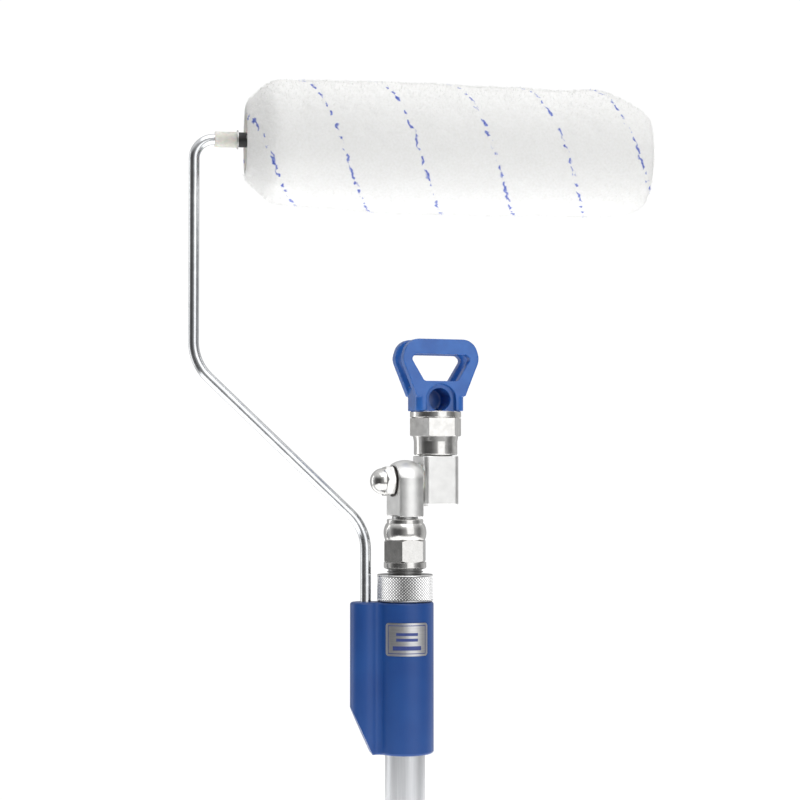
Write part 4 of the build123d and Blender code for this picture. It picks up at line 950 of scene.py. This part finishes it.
# ---- Clamp collar --------------------------------------------------------------------------------
# Turned aluminium ring with a diamond knurl between two plain rims, screwed down on the housing.
low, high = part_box("clamp_collar")
COLLAR_RIM = 0.0008
KNURL_DEPTH = 0.0007
KNURL_TEETH = 54
KNURL_ROWS = 8
COLLAR_BORE = 0.0112
collar_radius = (high.x - low.x) / 2
root_radius = collar_radius - KNURL_DEPTH
band_low, band_high = low.z + COLLAR_RIM, high.z - COLLAR_RIM
deselect_all()
bpy.ops.mesh.primitive_cylinder_add(
    vertices=KNURL_TEETH,
    radius=root_radius,
    depth=band_high - band_low,
    end_fill_type="NOTHING",
    location=(0, 0, (band_low + band_high) / 2),
)
collar = bpy.context.object
bpy.ops.object.transform_apply(location=True)
bpy.ops.object.mode_set(mode="EDIT")
select_edges(collar, lambda edge: abs(edge.verts[0].co.z - edge.verts[1].co.z) > 0.001)
bpy.ops.mesh.subdivide(number_cuts=KNURL_ROWS - 1)
# each square gets a middle point, then the square's own sides go, which leaves diamonds
bpy.ops.mesh.select_all(action="SELECT")
bpy.ops.mesh.poke()


def is_square_side(edge):
    start, end = (vertex.co for vertex in edge.verts)
    upright = (start.xy - end.xy).length < 0.0001
    flat = abs(start.z - end.z) < 0.0001
    return not edge.is_boundary and (upright or flat)


select_edges(collar, is_square_side)
bpy.ops.mesh.dissolve_edges(use_verts=False)
bpy.ops.mesh.select_mode(type="FACE")
bpy.ops.mesh.select_all(action="SELECT")
bpy.ops.mesh.poke(offset=KNURL_DEPTH)
for level, way in ((band_high, 1), (band_low, -1)):
    select_edges(
        collar,
        lambda edge: edge.is_boundary and all(abs(v.co.z - level) < 0.00005 for v in edge.verts),
    )
    at_radius = root_radius
    for radius, rise in (
        (collar_radius - 0.0001, 0.0001),
        (collar_radius - 0.0001, 0.0004),
        (collar_radius - 0.0005, COLLAR_RIM),
        (COLLAR_BORE + 0.0006, COLLAR_RIM),
        (COLLAR_BORE, COLLAR_RIM - 0.0006),
    ):
        bpy.ops.mesh.extrude_region_move()
        bpy.ops.transform.resize(
            value=(radius / at_radius, radius / at_radius, 1), center_override=(0, 0, level)
        )
        now = [v.co.z for v in bmesh.from_edit_mesh(collar.data).verts if v.select]
        bpy.ops.transform.translate(value=(0, 0, level + way * rise - sum(now) / len(now)))
        at_radius = radius
select_edges(
    collar, lambda edge: edge.is_boundary and all(v.co.xy.length < COLLAR_BORE + 0.0001 for v in edge.verts)
)
bpy.ops.mesh.bridge_edge_loops()
bpy.ops.mesh.select_all(action="SELECT")
bpy.ops.mesh.remove_doubles(threshold=0.00001)
bpy.ops.mesh.normals_make_consistent(inside=False)
bpy.ops.object.mode_set(mode="OBJECT")
bpy.ops.object.shade_smooth_by_angle(angle=math.radians(20))

turned_aluminium, tree, shader = new_material("turned_clear_aluminium", {"Metallic": 1.0})
place = add_node(tree, "ShaderNodeTexCoord")
cloud = add_node(
    tree, "ShaderNodeTexNoise", inputs={"Vector": place.outputs["Object"], "Scale": 800.0, "Detail": 3.0}
)
# painted shade in the knurl's grooves: the metal's colour darkens from the knurl's crests down to its root
# and stays dark over the flat rims and the bore
square_on = add_node(
    tree, "ShaderNodeVectorMath", {"operation": "MULTIPLY"}, {0: place.outputs["Object"], 1: (1, 1, 0)}
)
reach = add_node(tree, "ShaderNodeVectorMath", {"operation": "LENGTH"}, {0: square_on.outputs[0]})
painted_groove_shade = add_node(
    tree,
    "ShaderNodeMapRange",
    inputs={"Value": reach.outputs["Value"], "From Min": root_radius, "From Max": collar_radius - 0.0001},
)
# dark grey at the root and pale at the crests: painted groove shade, not a colour of the metal
tone = add_node(
    tree, "ShaderNodeValToRGB", inputs={"Fac": painted_groove_shade.outputs[0]}, stops=[(0.05, "#8E8E8E"), (0.7, "#F0F0F0")]
)
gloss = add_node(
    tree, "ShaderNodeMapRange", inputs={"Value": cloud.outputs["Fac"], "To Min": 0.22, "To Max": 0.36}
)
tree.links.new(tone.outputs["Color"], shader.inputs["Base Color"])
tree.links.new(gloss.outputs[0], shader.inputs["Roughness"])
put_in_place(collar, "knurled_collar", turned_aluminium, "clamp_collar")
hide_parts("clamp_collar")

# ---- Swivel and outlet bodies --------------------------------------------------------------------
# Forged brass bodies, bead blasted and satin nickel plated: even, pale and soft, with a fine grain
# and edges that the blasting has rounded.
satin_nickel, tree, shader = new_material("satin_nickel_plate", {"Metallic": 1.0})
place = add_node(tree, "ShaderNodeTexCoord")
# bead marks of about 0.35 mm
beads = add_node(
    tree, "ShaderNodeTexNoise", inputs={"Vector": place.outputs["Object"], "Scale": 2800.0, "Detail": 2.0}
)
cloud = add_node(
    tree, "ShaderNodeTexNoise", inputs={"Vector": place.outputs["Object"], "Scale": 150.0, "Detail": 2.0}
)
tone = add_node(
    tree,
    "ShaderNodeValToRGB",
    inputs={"Fac": cloud.outputs["Fac"]},
    stops=[(0.3, "#D5D5D4"), (0.7, "#E2E2E1")],
)
gloss = add_node(
    tree, "ShaderNodeMapRange", inputs={"Value": cloud.outputs["Fac"], "To Min": 0.34, "To Max": 0.44}
)
rounded = add_node(tree, "ShaderNodeBevel", {"samples": 6}, {"Radius": 0.0006})
relief = add_node(
    tree,
    "ShaderNodeBump",
    inputs={
        "Height": beads.outputs["Fac"],
        "Strength": 0.25,
        "Distance": 0.00004,
        "Normal": rounded.outputs["Normal"],
    },
)
tree.links.new(tone.outputs["Color"], shader.inputs["Base Color"])
tree.links.new(gloss.outputs[0], shader.inputs["Roughness"])
tree.links.new(relief.outputs["Normal"], shader.inputs["Normal"])
dress(satin_nickel, "swivel_body", "outlet_body")

# ---- Tip guard -----------------------------------------------------------------------------------
# Blue acetal moulding: bored base, arch and two open loops.  Every edge has a soft moulded radius,
# and the skin is glossy with a fine pebble.
deselect_all()
guard_node = nodes["tip_guard"]
guard_mesh = guard_node.data.copy()
guard = bpy.data.objects.new("tip_guard_moulding", guard_mesh)
bpy.context.scene.collection.objects.link(guard)
guard.select_set(True)
bpy.context.view_layer.objects.active = guard
bpy.ops.object.mode_set(mode="EDIT")
bpy.ops.mesh.select_all(action="SELECT")
bpy.ops.mesh.remove_doubles(threshold=0.000005)
bpy.ops.mesh.customdata_custom_splitnormals_clear()
bpy.ops.object.mode_set(mode="OBJECT")
GUARD_VOXEL = 0.00048
EASING_PASSES = 7
guard.data.remesh_voxel_size = GUARD_VOXEL
guard.data.remesh_voxel_adaptivity = 0
bpy.ops.object.voxel_remesh()
easing = guard.modifiers.new("easing", "SMOOTH")
easing.factor = 0.6
easing.iterations = EASING_PASSES
bpy.ops.object.modifier_apply(modifier="easing")
bpy.ops.object.shade_smooth()

moulded_acetal, tree, shader = new_material("moulded_blue_acetal", {"IOR": 1.48, "Specular IOR Level": 0.6})
place = add_node(tree, "ShaderNodeTexCoord")
flow = add_node(
    tree, "ShaderNodeTexNoise", inputs={"Vector": place.outputs["Object"], "Scale": 90.0, "Detail": 2.0}
)
# a pebble of about 0.8 mm
pebble = add_node(
    tree, "ShaderNodeTexNoise", inputs={"Vector": place.outputs["Object"], "Scale": 1250.0, "Detail": 2.0}
)
tone = add_node(
    tree,
    "ShaderNodeValToRGB",
    inputs={"Fac": flow.outputs["Fac"]},
    stops=[(0.3, "#2A60B0"), (0.7, "#336DBE")],
)
gloss = add_node(
    tree, "ShaderNodeMapRange", inputs={"Value": pebble.outputs["Fac"], "To Min": 0.14, "To Max": 0.28}
)
relief = add_node(
    tree, "ShaderNodeBump", inputs={"Height": pebble.outputs["Fac"], "Strength": 0.45, "Distance": 0.0001}
)
tree.links.new(tone.outputs["Color"], shader.inputs["Base Color"])
tree.links.new(gloss.outputs[0], shader.inputs["Roughness"])
tree.links.new(relief.outputs["Normal"], shader.inputs["Normal"])
put_in_place(guard, "tip_guard_moulding", moulded_acetal, "guard")
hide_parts("tip_guard")
